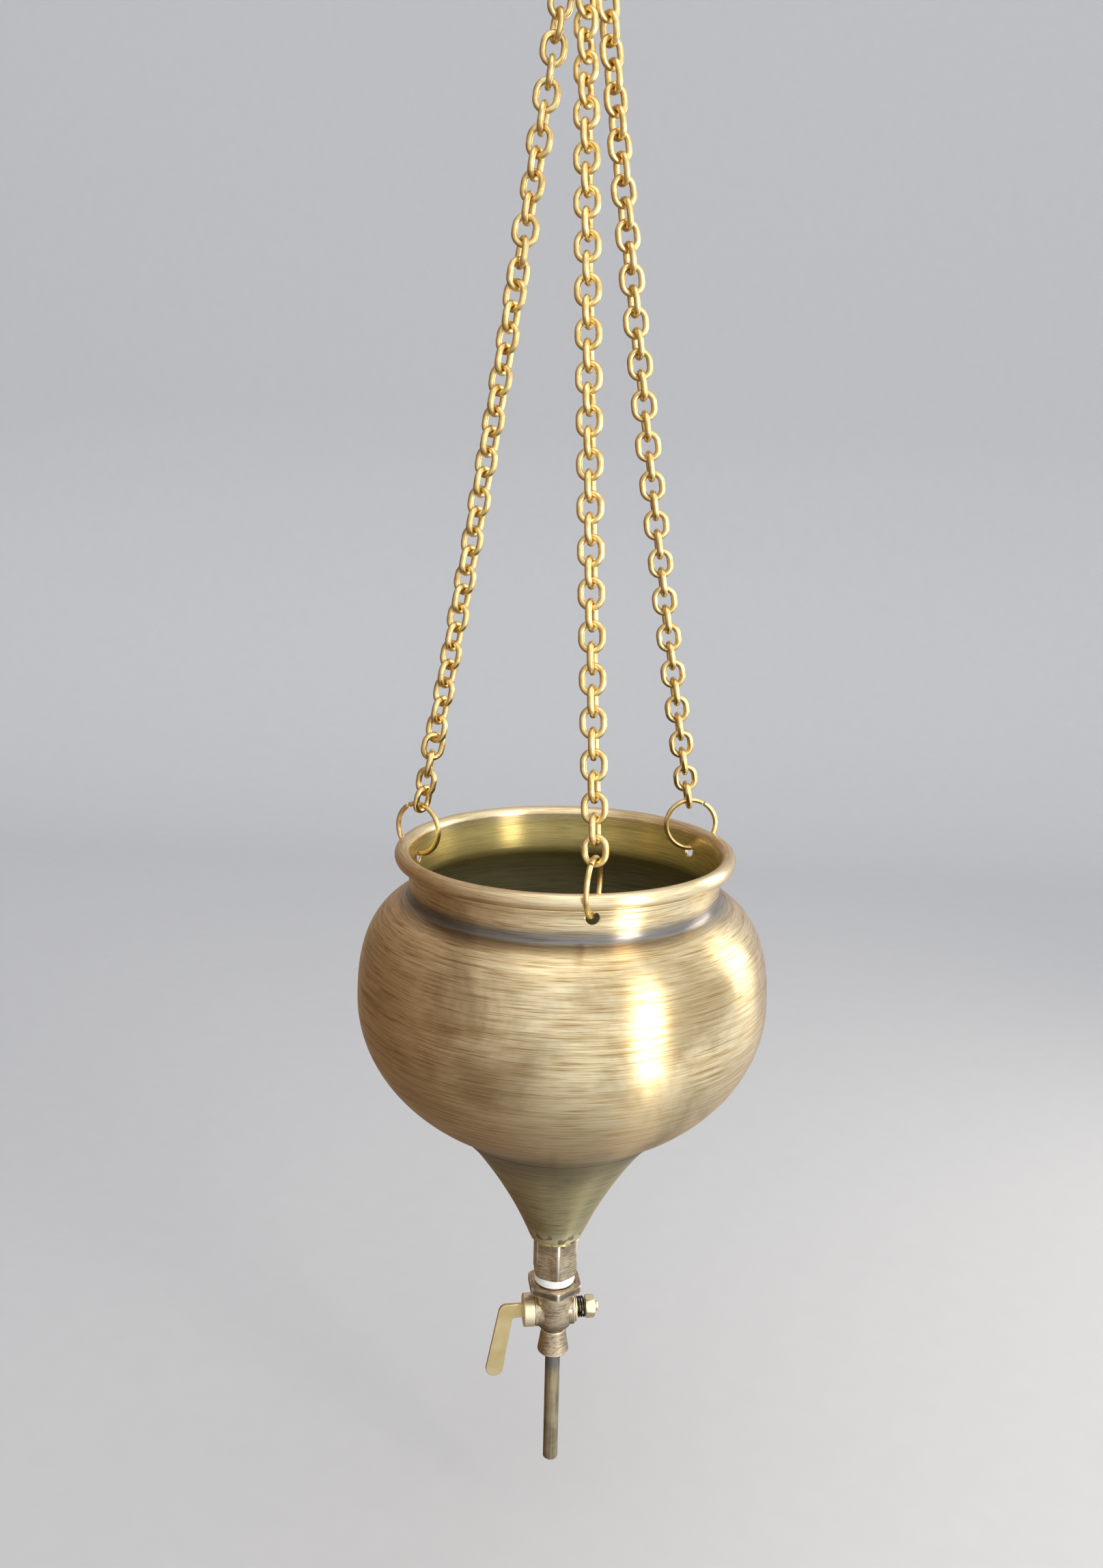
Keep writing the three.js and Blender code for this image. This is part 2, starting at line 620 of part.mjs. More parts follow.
/** The lever: a flat L whose blade hangs down and leans outwards. */
function leverGeometry() {
  const half = LEVER_STEM / 2;
  const tang = headOuter + LEVER_TANG;
  const lean = rad(LEVER_SLANT);
  const length = LEVER_LENGTH - LEVER_TIP_HALF;
  const place = (down, side) => [
    -LEVER_REACH - down * Math.sin(lean) + side * Math.cos(lean),
    -down * Math.cos(lean) - side * Math.sin(lean),
  ];
  const inner = place(half + LEVER_BEND_ROUND, LEVER_ROOT_HALF);
  const outer = place(0, -LEVER_ROOT_HALF);
  const flat = new THREE.Shape();
  flat.moveTo(tang, half);
  flat.lineTo(tang, -half);
  flat.lineTo(inner[0] + LEVER_BEND_ROUND, -half);
  flat.quadraticCurveTo(inner[0], -half, ...inner);
  flat.lineTo(...place(length, LEVER_TIP_HALF));
  const tip = place(length, 0);
  flat.absarc(tip[0], tip[1], LEVER_TIP_HALF, -lean, -lean - Math.PI, true);
  flat.lineTo(...outer);
  flat.quadraticCurveTo(outer[0] + LEVER_BEND_ROUND / 2, half, outer[0] + 2 * LEVER_BEND_ROUND, half);
  const geometry = new THREE.ExtrudeGeometry(flat, {
    depth: LEVER_THICKNESS,
    bevelEnabled: false,
    curveSegments: BEAD_STEPS,
  });
  geometry.rotateX(Math.PI / 2).translate(0, LEVER_THICKNESS / 2, 0);
  const pin = bar(PIN_RADIUS + GAP, -HEAD_RADIUS, HEAD_RADIUS, PIN_STEPS).rotateX(Math.PI / 2);
  return shaped(geometry, [], [pin.translate(pinPlace, 0, 0)]);
}

/** The pin that ties the lever to the plug's head. */
function pinGeometry() {
  const reach = HEAD_RADIUS - PIN_SINK;
  return bar(PIN_RADIUS, -reach, reach, PIN_STEPS).rotateX(Math.PI / 2).translate(pinPlace, 0, 0);
}

/** A flat ring or a nut round the stud, between two places along the plug's axis. */
function onStud(outside, from, to) {
  return shaped(outside, [], [crossBar(STUD_RADIUS + GAP, from - CUT, to + CUT, STUD_STEPS)]);
}

/** The spring on the stud: one unbroken helix of round wire. */
function springGeometry() {
  const steps = Math.round(SPRING_CURLS * CURL_STEPS);
  const rise = SPRING_LENGTH - SPRING_WIRE;
  const rings = [];
  for (let step = 0; step <= steps; step += 1) {
    const share = step / steps;
    const turn = 2 * Math.PI * SPRING_CURLS * share;
    for (let side = 0; side < CURL_SIDES; side += 1) {
      const around = (2 * Math.PI * side) / CURL_SIDES;
      const radius = SPRING_RADIUS + (SPRING_WIRE / 2) * Math.cos(around);
      const along = springFrom + SPRING_WIRE / 2 + rise * share + (SPRING_WIRE / 2) * Math.sin(around);
      rings.push(along, radius * Math.cos(turn), radius * Math.sin(turn));
    }
  }
  const faces = [];
  for (let step = 0; step < steps; step += 1) {
    for (let side = 0; side < CURL_SIDES; side += 1) {
      const here = step * CURL_SIDES + side;
      const beside = step * CURL_SIDES + ((side + 1) % CURL_SIDES);
      faces.push(here, here + CURL_SIDES, beside, beside, here + CURL_SIDES, beside + CURL_SIDES);
    }
  }
  const last = steps * CURL_SIDES;
  for (let side = 1; side < CURL_SIDES - 1; side += 1) {
    faces.push(0, side, side + 1, last, last + side + 1, last + side);
  }
  const geometry = new THREE.BufferGeometry();
  geometry.setAttribute('position', new THREE.Float32BufferAttribute(rings, 3));
  geometry.setIndex(faces);
  geometry.computeVertexNormals();
  console.log('spring: least gap between its curls', springGap().toFixed(2), 'mm');
  return geometry;
}

/** The least gap between the spring's curls, measured on points of its middle line. */
function springGap() {
  const count = 400;
  const points = Array.from({ length: count + 1 }, (_, index) => {
    const turn = (2 * Math.PI * SPRING_CURLS * index) / count;
    const along = ((SPRING_LENGTH - SPRING_WIRE) * index) / count;
    return new THREE.Vector3(along, SPRING_RADIUS * Math.cos(turn), SPRING_RADIUS * Math.sin(turn));
  });
  const curl = count / SPRING_CURLS;
  let least = Infinity;
  points.forEach((point, index) => {
    points.slice(index + Math.round(curl / 2)).forEach((other) => {
      least = Math.min(least, point.distanceTo(other));
    });
  });
  return least - SPRING_WIRE;
}

/** The drip tube, soldered into the outlet. */
function tubeGeometry() {
  return turned([
    [TUBE_BORE / 2, tubeEnd],
    [TUBE_RADIUS, tubeEnd],
    [TUBE_RADIUS, tubeTop],
    [TUBE_BORE / 2, tubeTop],
  ], VALVE_STEPS);
}

// The object
const group = new THREE.Group();
group.add(piece('hook', hookGeometry(), brightBrass));

const hanging = new THREE.Group();
hanging.position.z = rimHeight;
group.add(hanging);
hanging.add(piece('gather_ring', gatherGeometry(), brightBrass));
for (const chain of CHAINS) {
  const ring = piece(`jump_ring_${chain.name}`, jumpRingGeometry(), brightBrass);
  ring.position.copy(ringPlace(chain.azimuth));
  ring.rotation.z = rad(chain.azimuth + chain.swivel);
  hanging.add(ring);
  hanging.add(piece(`chain_${chain.name}`, chainGeometry(chain), brightBrass));
}
hanging.add(piece('bowl', bowlGeometry(), brushedBrass));
hanging.add(piece('funnel', funnelGeometry(), darkBrass));

const valve = new THREE.Group();
valve.rotation.z = rad(VALVE_TURN);
hanging.add(valve);
valve.add(piece('hex_socket', socketGeometry(), agedBrass));
valve.add(piece('ptfe_tape', tapeGeometry(), whiteTape));
valve.add(piece('valve_body', valveBodyGeometry(), agedBrass));
valve.add(piece('drip_tube', tubeGeometry(), tubeBrass));

const plug = new THREE.Group();
plug.position.z = plugHeight;
valve.add(plug);
plug.add(piece('plug', plugGeometry(), polishedBrass));
plug.add(piece('lever', leverGeometry(), polishedBrass));
plug.add(piece('lever_pin', pinGeometry(), agedBrass));
const washerEnd = washerFrom + WASHER_THICKNESS;
plug.add(piece('washer', onStud(crossBar(WASHER_RADIUS, washerFrom, washerEnd), washerFrom, washerEnd),
  polishedBrass));
plug.add(piece('spring', springGeometry(), blackSteel));
const nutEnd = nutFrom + NUT_THICKNESS;
plug.add(piece('nut', onStud(hexBar(NUT_FLATS, nutFrom, nutEnd).rotateY(Math.PI / 2), nutFrom, nutEnd),
  polishedBrass));

export default group;
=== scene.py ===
"""A shirodhara pot of spun brass, hung on its three chains.

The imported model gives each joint, place and body. This script makes the fine surface of
every piece at the same sizes, in metres and with +Z up, gives each its brass, tape or
steel, and puts the camera where the photograph was taken from.
"""
import json
import logging
import math
from abc import ABC, abstractmethod
from collections.abc import Sequence
from dataclasses import dataclass
from enum import Enum
from typing import ClassVar

import bpy
import numpy as np
from mathutils import Matrix, Vector


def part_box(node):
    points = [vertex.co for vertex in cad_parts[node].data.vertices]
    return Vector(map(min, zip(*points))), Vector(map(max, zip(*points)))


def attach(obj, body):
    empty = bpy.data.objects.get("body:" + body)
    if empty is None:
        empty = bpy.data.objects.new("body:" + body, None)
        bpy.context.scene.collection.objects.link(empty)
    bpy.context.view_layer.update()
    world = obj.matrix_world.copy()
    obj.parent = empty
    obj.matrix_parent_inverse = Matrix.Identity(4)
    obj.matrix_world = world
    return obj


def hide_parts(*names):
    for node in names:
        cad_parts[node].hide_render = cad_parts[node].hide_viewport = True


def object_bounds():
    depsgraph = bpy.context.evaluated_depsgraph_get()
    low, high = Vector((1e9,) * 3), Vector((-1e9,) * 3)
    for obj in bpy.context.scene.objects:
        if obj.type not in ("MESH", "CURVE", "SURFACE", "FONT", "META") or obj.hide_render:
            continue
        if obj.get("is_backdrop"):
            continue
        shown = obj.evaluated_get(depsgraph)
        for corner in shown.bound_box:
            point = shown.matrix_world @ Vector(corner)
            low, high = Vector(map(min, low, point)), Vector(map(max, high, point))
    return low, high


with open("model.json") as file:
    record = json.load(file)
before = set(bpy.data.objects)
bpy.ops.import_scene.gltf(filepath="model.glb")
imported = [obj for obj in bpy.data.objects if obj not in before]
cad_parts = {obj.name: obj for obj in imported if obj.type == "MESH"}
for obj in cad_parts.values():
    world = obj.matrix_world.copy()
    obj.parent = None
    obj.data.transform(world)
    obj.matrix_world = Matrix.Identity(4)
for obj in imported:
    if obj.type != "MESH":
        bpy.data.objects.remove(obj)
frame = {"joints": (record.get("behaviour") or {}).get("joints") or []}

Array = np.ndarray
Piece = bpy.types.Object
Tree = bpy.types.NodeTree
Socket = bpy.types.NodeSocket
Point = tuple[float, float, float]
Span = tuple[float, float]
Ramp = tuple[float, float, float, float]  # from low, from high, to low, to high
Coat = tuple[Socket, Socket | str]  # how much of a colour shows, and the colour
Inputs = Sequence[object] | dict[str | int, object]

MM = 0.001
GAP = 0.3  # millimetres between any two pieces that meet, as in the solids
HOLD = 0.06  # millimetres from a rounding to the point that keeps the flat beside it flat
EDGE_SHARPNESS = 80  # how tightly a turned end cuts a hexagon bar
BAR_CORNER = 60  # how sharp the corners of a hexagon bar are
SHARP = 48.0  # degrees past which an edge is shaded sharp
EASED = {"interpolation_type": "SMOOTHSTEP"}

log = logging.getLogger("shirodhara_pot")


class Kind(Enum):
    """What the nodes of the finishes do."""

    SHADER = "ShaderNodeBsdfPrincipled"
    PLACE = "ShaderNodeTexCoord"
    MAP = "ShaderNodeUVMap"
    SPLIT = "ShaderNodeSeparateXYZ"
    JOIN = "ShaderNodeCombineXYZ"
    NOISE = "ShaderNodeTexNoise"
    MATH = "ShaderNodeMath"
    VECTOR = "ShaderNodeVectorMath"
    RANGE = "ShaderNodeMapRange"
    MIX = "ShaderNodeMix"
    BUMP = "ShaderNodeBump"
    TANGENT = "ShaderNodeTangent"


class Slot(Enum):
    """The record's material slots."""

    BRIGHT = "bright_brass"
    BRUSHED = "brushed_brass"
    DARK = "dark_brass"
    AGED = "aged_brass"
    POLISHED = "polished_brass"
    SPRING = "black_steel"
    TAPE = "white_tape"
    TUBE = "tube_brass"


def linear(colour: str) -> tuple[float, float, float, float]:
    """Turns an sRGB hex colour such as "c8a45d" into linear red, green, blue and alpha.

    Args:
        colour: six hex digits.

    Returns:
        The four shares.
    """
    shares = np.array([int(colour[place:place + 2], 16) for place in (0, 2, 4)]) / 255
    bent = np.where(shares <= 0.04045, shares / 12.92, ((shares + 0.055) / 1.055) ** 2.4)
    return (*bent.tolist(), 1.0)


def add_node(tree: Tree, kind: Kind, inputs: Inputs = (), output: int | str = 0,
             **properties: object) -> Socket:
    """Adds one node with its settings and links.

    Args:
        tree: the node tree.
        kind: what the node does.
        inputs: for each input, in order or by its name or number, a value, an sRGB hex
            colour or the output that feeds it.
        output: the name or number of the output that is wanted.
        **properties: the node's own properties.

    Returns:
        That output.
    """
    node = tree.nodes.new(kind.value)
    for name, value in properties.items():
        setattr(node, name, value)
    for key, value in inputs.items() if isinstance(inputs, dict) else enumerate(inputs):
        if isinstance(value, bpy.types.NodeSocket):
            tree.links.new(value, node.inputs[key])
        else:
            node.inputs[key].default_value = linear(value) if isinstance(value, str) else value
    return node.outputs[output]


def coated(tree: Tree, base: Socket | str, coats: Sequence[Coat]) -> Socket:
    """A base colour with other colours over it, each by its own share.

    Args:
        tree: the node tree.
        base: the colour underneath.
        coats: the share and the colour of each coat, in the order that they lie.

    Returns:
        The colour that shows.
    """
    for share, colour in coats:
        base = add_node(tree, Kind.MIX, {0: share, 6: base, 7: colour}, 2, data_type="RGBA")
    return base


def marks_along(tree: Tree, around: float, across: float) -> Socket:
    """Coordinates in which marks run round a turned piece.

    The piece's "lay" map holds u, the share of a turn, and v, the distance along the outline
    in metres. The result is (around cos 2πu, around sin 2πu, across v), which has no seam.

    Args:
        tree: the node tree.
        around: how many features of a noise fit in the turn's radius.
        across: how many fit in one metre across the marks.

    Returns:
        The vector output.
    """
    lay = add_node(tree, Kind.MAP, uv_map="lay")
    share = add_node(tree, Kind.SPLIT, [lay])
    turn = add_node(tree, Kind.MATH, [share, math.tau], operation="MULTIPLY")
    level = add_node(tree, Kind.MATH, [turn], operation="COSINE")
    rise = add_node(tree, Kind.MATH, [turn], operation="SINE")
    joined = add_node(tree, Kind.JOIN, [level, rise, add_node(tree, Kind.SPLIT, [lay], 1)])
    return add_node(tree, Kind.VECTOR, [joined, (around, around, across)], operation="MULTIPLY")


def worn(tree: Tree) -> tuple[Socket, Socket]:
    """A piece's edge wear, and how far inside it a point lies or how much grime and painted
    shade it holds, from its "wear" map.

    Args:
        tree: the node tree.

    Returns:
        The two outputs.
    """
    wear = add_node(tree, Kind.MAP, uv_map="wear")
    return add_node(tree, Kind.SPLIT, [wear], 0), add_node(tree, Kind.SPLIT, [wear], 1)


@dataclass(frozen=True)
class Finish(ABC):
    """How one real material looks: its name, and the nodes that paint it."""

    name: str

    def material(self) -> bpy.types.Material:
        """Makes the finish's material on its first use.

        Returns:
            The material.
        """
        found = bpy.data.materials.get(self.name)
        if found is not None:
            return found
        material = bpy.data.materials.new(self.name)
        material.use_nodes = True
        tree = material.node_tree
        tree.nodes.clear()
        shader = add_node(tree, Kind.SHADER, self.paint(tree))
        surface = tree.nodes.new("ShaderNodeOutputMaterial").inputs["Surface"]
        tree.links.new(shader, surface)
        return material

    @abstractmethod
    def paint(self, tree: Tree) -> dict[str, object]:
        """Adds the nodes that paint the finish.

        Args:
            tree: the material's node tree.

        Returns:
            The shader's inputs by name.
        """


@dataclass(frozen=True)
class SpunBrass(Finish):
    """Spun sheet brass, brushed on the lathe and left to age a little.

    The brush leaves short streaks round the axis, so highlights spread up and down the
    sheet. Handling browns it in patches, and the inside is painted darker with depth, as
    painted shade.
    """

    light: str = "f2deb0"
    deep: str = "ad8a50"
    tarnish: str = "7d643a"
    washed: tuple[str, str] = ("ac9450", "e0cd84")  # inside the neck, where oil keeps it yellow
    # the inner colours are painted shade, darkening the inside with depth
    inner: tuple[str, str] = ("6f6846", "a29b72")
    # painted shade: the grey band in the corner under the neck
    grime_and_shade: str = "535861"
    # painted shade: grey towards the seam, under the belly
    seam: str = "6f6850"
    brazed: tuple[str, str, str] = ("5f5c4c", "e8dfb4", "5b4a2c")  # painted shade near the seam, a painted highlight at the lower end, burnt braze spots
    radius_mm: float = 100.0
    streak_mm: float = 20.0  # length of a brush streak
    line_mm: float = 0.45  # real lines are 0.1 mm apart, too fine to show, so drawn coarser
    patch_mm: float = 62.5  # size of the browned patches
    spots_per_m: float = 240.0  # burnt spots, about 4 mm each
    roughness: float = 0.31
    fine_streaks: Ramp = (0.36, 0.52, 0.0, 0.6)
    broad_streaks: Ramp = (0.38, 0.56, 0.0, 0.4)
    stain: Ramp = (0.46, 0.72, 0.0, 0.6)
    shaded_inside: float = 0.5  # how metallic the inside is where its painted shade is deepest, so that the dark inner colour shows
    corner_mm: float = 0.0  # how far below its top a piece's inner corner gets a band of painted grey shade
    ends: bool = False  # whether the funnel gets painted shade under the bowl, a painted highlight at its lower end and burnt braze spots

    def paint(self, tree: Tree) -> dict[str, object]:
        """Paints the streaks, the browning and the darker inside.

        Args:
            tree: the material's node tree.

        Returns:
            The shader's inputs by name.
        """
        around, across = self.radius_mm / self.streak_mm, 1 / (self.line_mm * MM)
        fine = add_node(tree, Kind.NOISE, {
            "Vector": marks_along(tree, around, across),
            "Scale": 1.0, "Detail": 2.0, "Roughness": 0.55})
        broad = add_node(tree, Kind.NOISE, {
            "Vector": marks_along(tree, around / 2, across / 3), "Scale": 1.0, "Detail": 3.0,
            "Roughness": 0.6})
        where = add_node(tree, Kind.PLACE, output="Object")
        height = add_node(tree, Kind.SPLIT, [where], 2)
        patch = add_node(tree, Kind.NOISE, {
            "Vector": where, "Scale": 1 / (self.patch_mm * MM), "Detail": 5.0, "Roughness": 0.6,
            "Distortion": 0.4})
        edge, inside = worn(tree)
        streaks = add_node(tree, Kind.MATH, [
            add_node(tree, Kind.RANGE, [fine, *self.fine_streaks]),
            add_node(tree, Kind.RANGE, [broad, *self.broad_streaks])], operation="ADD")
        coats = [
            (streaks, self.light),
            (add_node(tree, Kind.RANGE, [patch, *self.stain], **EASED), self.tarnish)]
        # Painted grey shade at the seam and in the corner under the neck.
        if self.corner_mm:
            coats += self.seam_and_neck_shade(tree, height)
        # Yellower inside the neck, then painted shade deeper in, by the inside share of the wear
        # map.
        for start, end, (low, high) in ((0.0, 0.3, self.washed), (0.3, 1.0, self.inner)):
            share = add_node(tree, Kind.RANGE, [inside, start, end])
            coats.append((share, coated(tree, low, [(streaks, high)])))
        coats.append((add_node(tree, Kind.RANGE, [edge, 0.0, 1.0, 0.0, 0.75]), self.light))
        if self.ends:
            coats += self.brazing_shade_and_highlight(tree, where, height)
        rough = add_node(tree, Kind.RANGE, [
            streaks, 0.0, 1.0, self.roughness + 0.09, self.roughness - 0.03])
        return {
            "Base Color": coated(tree, self.deep, coats),
            "Roughness": add_node(tree, Kind.MATH, [edge, -0.08, rough], operation="MULTIPLY_ADD"),
            "Normal": add_node(tree, Kind.BUMP, {
                "Strength": 0.4, "Distance": 0.08 * MM, "Height": fine}),
            "Metallic": add_node(tree, Kind.RANGE, [inside, 0.0, 1.0, 1.0, self.shaded_inside]),
            "Tangent": add_node(tree, Kind.TANGENT, direction_type="UV_MAP", uv_map="lay"),
            "Anisotropic": 0.85,
            "Anisotropic Rotation": 0.25,
        }

    def seam_and_neck_shade(self, tree: Tree, height: Socket) -> list[Coat]:
        """Paints grey shade on the bowl: towards the seam at its foot, and in the corner
        under the neck.

        The seam's share falls with height. The other is a rise times a fall, which meet at
        the corner under the neck.

        Args:
            tree: the material's node tree.
            height: the height in the frame.

        Returns:
            The two coats.
        """
        foot, top = (corner.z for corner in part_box("bowl"))
        middle = top - self.corner_mm * MM
        # Painted shade at the seam, fading upwards.
        low = add_node(tree, Kind.RANGE, [height, foot, foot + 26 * MM, 0.75, 0.0], **EASED)
        # Painted shade band in the corner under the neck.
        below = add_node(tree, Kind.RANGE, [height, middle - 6 * MM, middle, 0.0, 0.85], **EASED)
        above = add_node(tree, Kind.RANGE, [height, middle, middle + 7 * MM, 1.0, 0.0], **EASED)
        band = add_node(tree, Kind.MATH, [below, above], operation="MULTIPLY")
        return [(low, self.seam), (band, self.grime_and_shade)]

    def brazing_shade_and_highlight(self, tree: Tree, where: Socket, height: Socket) -> list[Coat]:
        """Paints shade on the funnel near the seam, under the bowl, paints a highlight round its
        lower end, and spots it with burnt flux.

        Args:
            tree: the material's node tree.
            where: the piece's own coordinates.
            height: the height in the frame.

        Returns:
            The three coats.
        """
        foot, top = (corner.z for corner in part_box("funnel"))
        # Painted shade at the top, under the bowl's belly.
        dull = add_node(tree, Kind.RANGE, [height, top - 30 * MM, top - 4 * MM, 0.0, 0.55], **EASED)
        # Painted highlight round the lower end.
        bright = add_node(
            tree, Kind.RANGE, [height, foot + 2 * MM, foot + 13 * MM, 0.85, 0.0], **EASED)
        spots = add_node(tree, Kind.NOISE, {
            "Vector": where, "Scale": self.spots_per_m, "Detail": 2.0, "Roughness": 0.5})
        burnt = add_node(tree, Kind.RANGE, [spots, 0.52, 0.60, 0.0, 0.7], **EASED)
        near = add_node(
            tree, Kind.RANGE, [height, foot + 5 * MM, foot + 11 * MM, 1.0, 0.0], **EASED)
        both = add_node(tree, Kind.MATH, [burnt, near], operation="MULTIPLY")
        return list(zip((dull, bright, both), self.brazed))


@dataclass(frozen=True)
class SatinBrass(Finish):
    """Drawn or cut brass with a satin to bright surface.

    Rubbing keeps it yellow and shiny, with faint cloudiness and a browner tone in hollows.
    """

    light: str = "efd695"
    deep: str = "cdab68"
    roughness: float = 0.27
    cloud_mm: float = 4.0
    grain_mm: float = 0.35  # polishing grain, drawn coarser than the real 0.05 mm

    def paint(self, tree: Tree) -> dict[str, object]:
        """Paints the cloudy tone, the grain and the brighter edges.

        Args:
            tree: the material's node tree.

        Returns:
            The shader's inputs by name.
        """
        where = add_node(tree, Kind.PLACE, output="Object")
        cloud = add_node(tree, Kind.NOISE, {
            "Vector": where, "Scale": 1 / (self.cloud_mm * MM), "Detail": 3.0, "Roughness": 0.55})
        grain = add_node(tree, Kind.NOISE, {
            "Vector": where, "Scale": 1 / (self.grain_mm * MM), "Detail": 2.0, "Roughness": 0.6})
        tone = add_node(tree, Kind.RANGE, [cloud, 0.3, 0.62])
        return {
            "Base Color": coated(tree, self.deep, [
                (tone, self.light), (worn(tree)[0], self.light)]),
            "Roughness": add_node(tree, Kind.RANGE, [
                cloud, 0.3, 0.7, self.roughness + 0.07, self.roughness - 0.03]),
            "Normal": add_node(tree, Kind.BUMP, {
                "Strength": 0.06, "Distance": 0.03 * MM, "Height": grain}),
            "Metallic": 1.0,
        }


@dataclass(frozen=True)
class AgedBrass(Finish):
    """Machined brass bar, browned by age, with the edges rubbed bright.

    Turning and milling lines show as short grey-brown scratches. Recesses are darkened,
    and the same colour paints the shadow on the socket's top and shade on the flange's faces.
    """

    light: str = "d8c4a0"
    deep: str = "594832"
    edge: str = "fbefd6"
    # darkens recesses, and paints the shadow and shade on the socket and the flange
    grime_and_shade: str = "4d463c"
    roughness: float = 0.27
    radius_mm: float = 11.0
    scratch_mm: float = 6.0
    line_mm: float = 0.42  # real turning lines are 0.1 mm apart, so drawn coarser
    mottles_per_m: float = 190.0  # about 5 mm each

    def paint(self, tree: Tree) -> dict[str, object]:
        """Paints the brown patina, the machining lines and the bright edges.

        Args:
            tree: the material's node tree.

        Returns:
            The shader's inputs by name.
        """
        marks = marks_along(tree, self.radius_mm / self.scratch_mm, 1 / (self.line_mm * MM))
        lines = add_node(tree, Kind.NOISE, {
            "Vector": marks, "Scale": 1.0, "Detail": 2.0, "Roughness": 0.6, "Distortion": 0.9})
        mottle = add_node(tree, Kind.NOISE, {
            "Vector": add_node(tree, Kind.PLACE, output="Object"), "Scale": self.mottles_per_m,
            "Detail": 5.0, "Roughness": 0.65})
        edge, inside = worn(tree)
        tone = add_node(tree, Kind.MATH, [
            add_node(tree, Kind.RANGE, [lines, 0.34, 0.58, 0.0, 0.62]),
            add_node(tree, Kind.RANGE, [mottle, 0.36, 0.64, 0.0, 0.38])], operation="ADD")
        rubbed = add_node(tree, Kind.MATH, [
            edge, add_node(tree, Kind.RANGE, [mottle, 0.35, 0.6, 0.55, 1.0])], operation="MULTIPLY")
        # The inside share paints grime and painted shade in the grime-and-shade colour.
        coats = [(tone, self.light), (inside, self.grime_and_shade), (rubbed, self.edge)]
        return {
            "Base Color": coated(tree, self.deep, coats),
            "Roughness": add_node(tree, Kind.RANGE, [
                tone, 0.0, 1.0, self.roughness + 0.12, self.roughness - 0.04]),
            "Normal": add_node(tree, Kind.BUMP, {
                "Strength": 0.3, "Distance": 0.05 * MM, "Height": lines}),
            "Metallic": 1.0,
        }


@dataclass(frozen=True)
class SpringSteel(Finish):
    """Oil-blackened spring wire: nearly black, with a low gloss."""

    def paint(self, tree: Tree) -> dict[str, object]:
        """Paints the blackened oxide with a few rubbed grey patches.

        Args:
            tree: the material's node tree.

        Returns:
            The shader's inputs by name.
        """
        where = add_node(tree, Kind.PLACE, output="Object")
        patch = add_node(tree, Kind.NOISE, {"Vector": where, "Scale": 900.0, "Detail": 3.0})
        rubbed = add_node(tree, Kind.RANGE, [patch, 0.5, 0.75])
        return {
            "Base Color": coated(tree, "14120f", [(rubbed, "4a443c")]),
            "Roughness": add_node(tree, Kind.RANGE, [rubbed, 0.0, 1.0, 0.42, 0.3]),
            "Metallic": 0.85,
        }


@dataclass(frozen=True)
class ThreadTape(Finish):
    """PTFE thread tape: soft white film, slightly greyed by oil, in tight overlapping turns."""

    def paint(self, tree: Tree) -> dict[str, object]:
        """Paints the film's faint creases and its soft, slightly waxy sheen.

        Args:
            tree: the material's node tree.

        Returns:
            The shader's inputs by name.
        """
        creases = add_node(tree, Kind.NOISE, {
            "Vector": marks_along(tree, 5.0, 1500.0), "Scale": 1.0, "Detail": 4.0, "Roughness": 0.6,
            "Distortion": 1.2})
        tone = add_node(tree, Kind.RANGE, [creases, 0.3, 0.7])
        return {
            "Base Color": coated(tree, "e4e2dc", [(tone, "fbfaf6")]),
            "Normal": add_node(tree, Kind.BUMP, {
                "Strength": 0.5, "Distance": 0.1 * MM, "Height": creases}),
            "Roughness": 0.42,
            "Subsurface Weight": 0.15,
            "Subsurface Scale": 2 * MM,
        }


@dataclass(frozen=True)
class DrawnTube(Finish):
    """Drawn brass tube gone dull olive-brown, streaked along its length.

    Soldering heat has greyed its upper end.
    """

    def paint(self, tree: Tree) -> dict[str, object]:
        """Paints the streaks along the tube and the greyed upper end.

        Args:
            tree: the material's node tree.

        Returns:
            The shader's inputs by name.
        """
        streaks = add_node(tree, Kind.NOISE, {
            "Vector": marks_along(tree, 4.0, 28.0), "Scale": 1.0, "Detail": 4.0, "Roughness": 0.6})
        where = add_node(tree, Kind.PLACE, output="Object")
        patch = add_node(tree, Kind.NOISE, {"Vector": where, "Scale": 130.0, "Detail": 4.0})
        tone = add_node(tree, Kind.MATH, [
            add_node(tree, Kind.RANGE, [streaks, 0.33, 0.67, 0.0, 0.6]),
            add_node(tree, Kind.RANGE, [patch, 0.35, 0.65, 0.0, 0.4])], operation="ADD")
        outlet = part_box("valve_body")[0].z
        height = add_node(tree, Kind.SPLIT, [where], 2)
        heated = add_node(
            tree, Kind.RANGE, [height, outlet - 13 * MM, outlet - 7 * MM, 0.0, 0.8], **EASED)
        return {
            "Base Color": coated(tree, "746954", [(tone, "c0b089"), (heated, "747470")]),
            "Roughness": add_node(tree, Kind.RANGE, [tone, 0.0, 1.0, 0.5, 0.38]),
            "Metallic": 1.0,
        }


@dataclass(frozen=True)
class PaintedBoard(Finish):
    """The studio's matt painted board."""

    def paint(self, tree: Tree) -> dict[str, object]:
        """Paints one even matt tone with a trace of roller texture.

        Args:
            tree: the material's node tree.

        Returns:
            The shader's inputs by name.
        """
        roller = add_node(tree, Kind.NOISE, {
            "Vector": add_node(tree, Kind.PLACE, output="Object"), "Scale": 60.0, "Detail": 3.0})
        tone = add_node(tree, Kind.RANGE, [roller, 0.3, 0.7, 0.0, 0.08])
        return {"Base Color": coated(tree, "c6c5c2", [(tone, "b0aeac")]), "Roughness": 0.85}


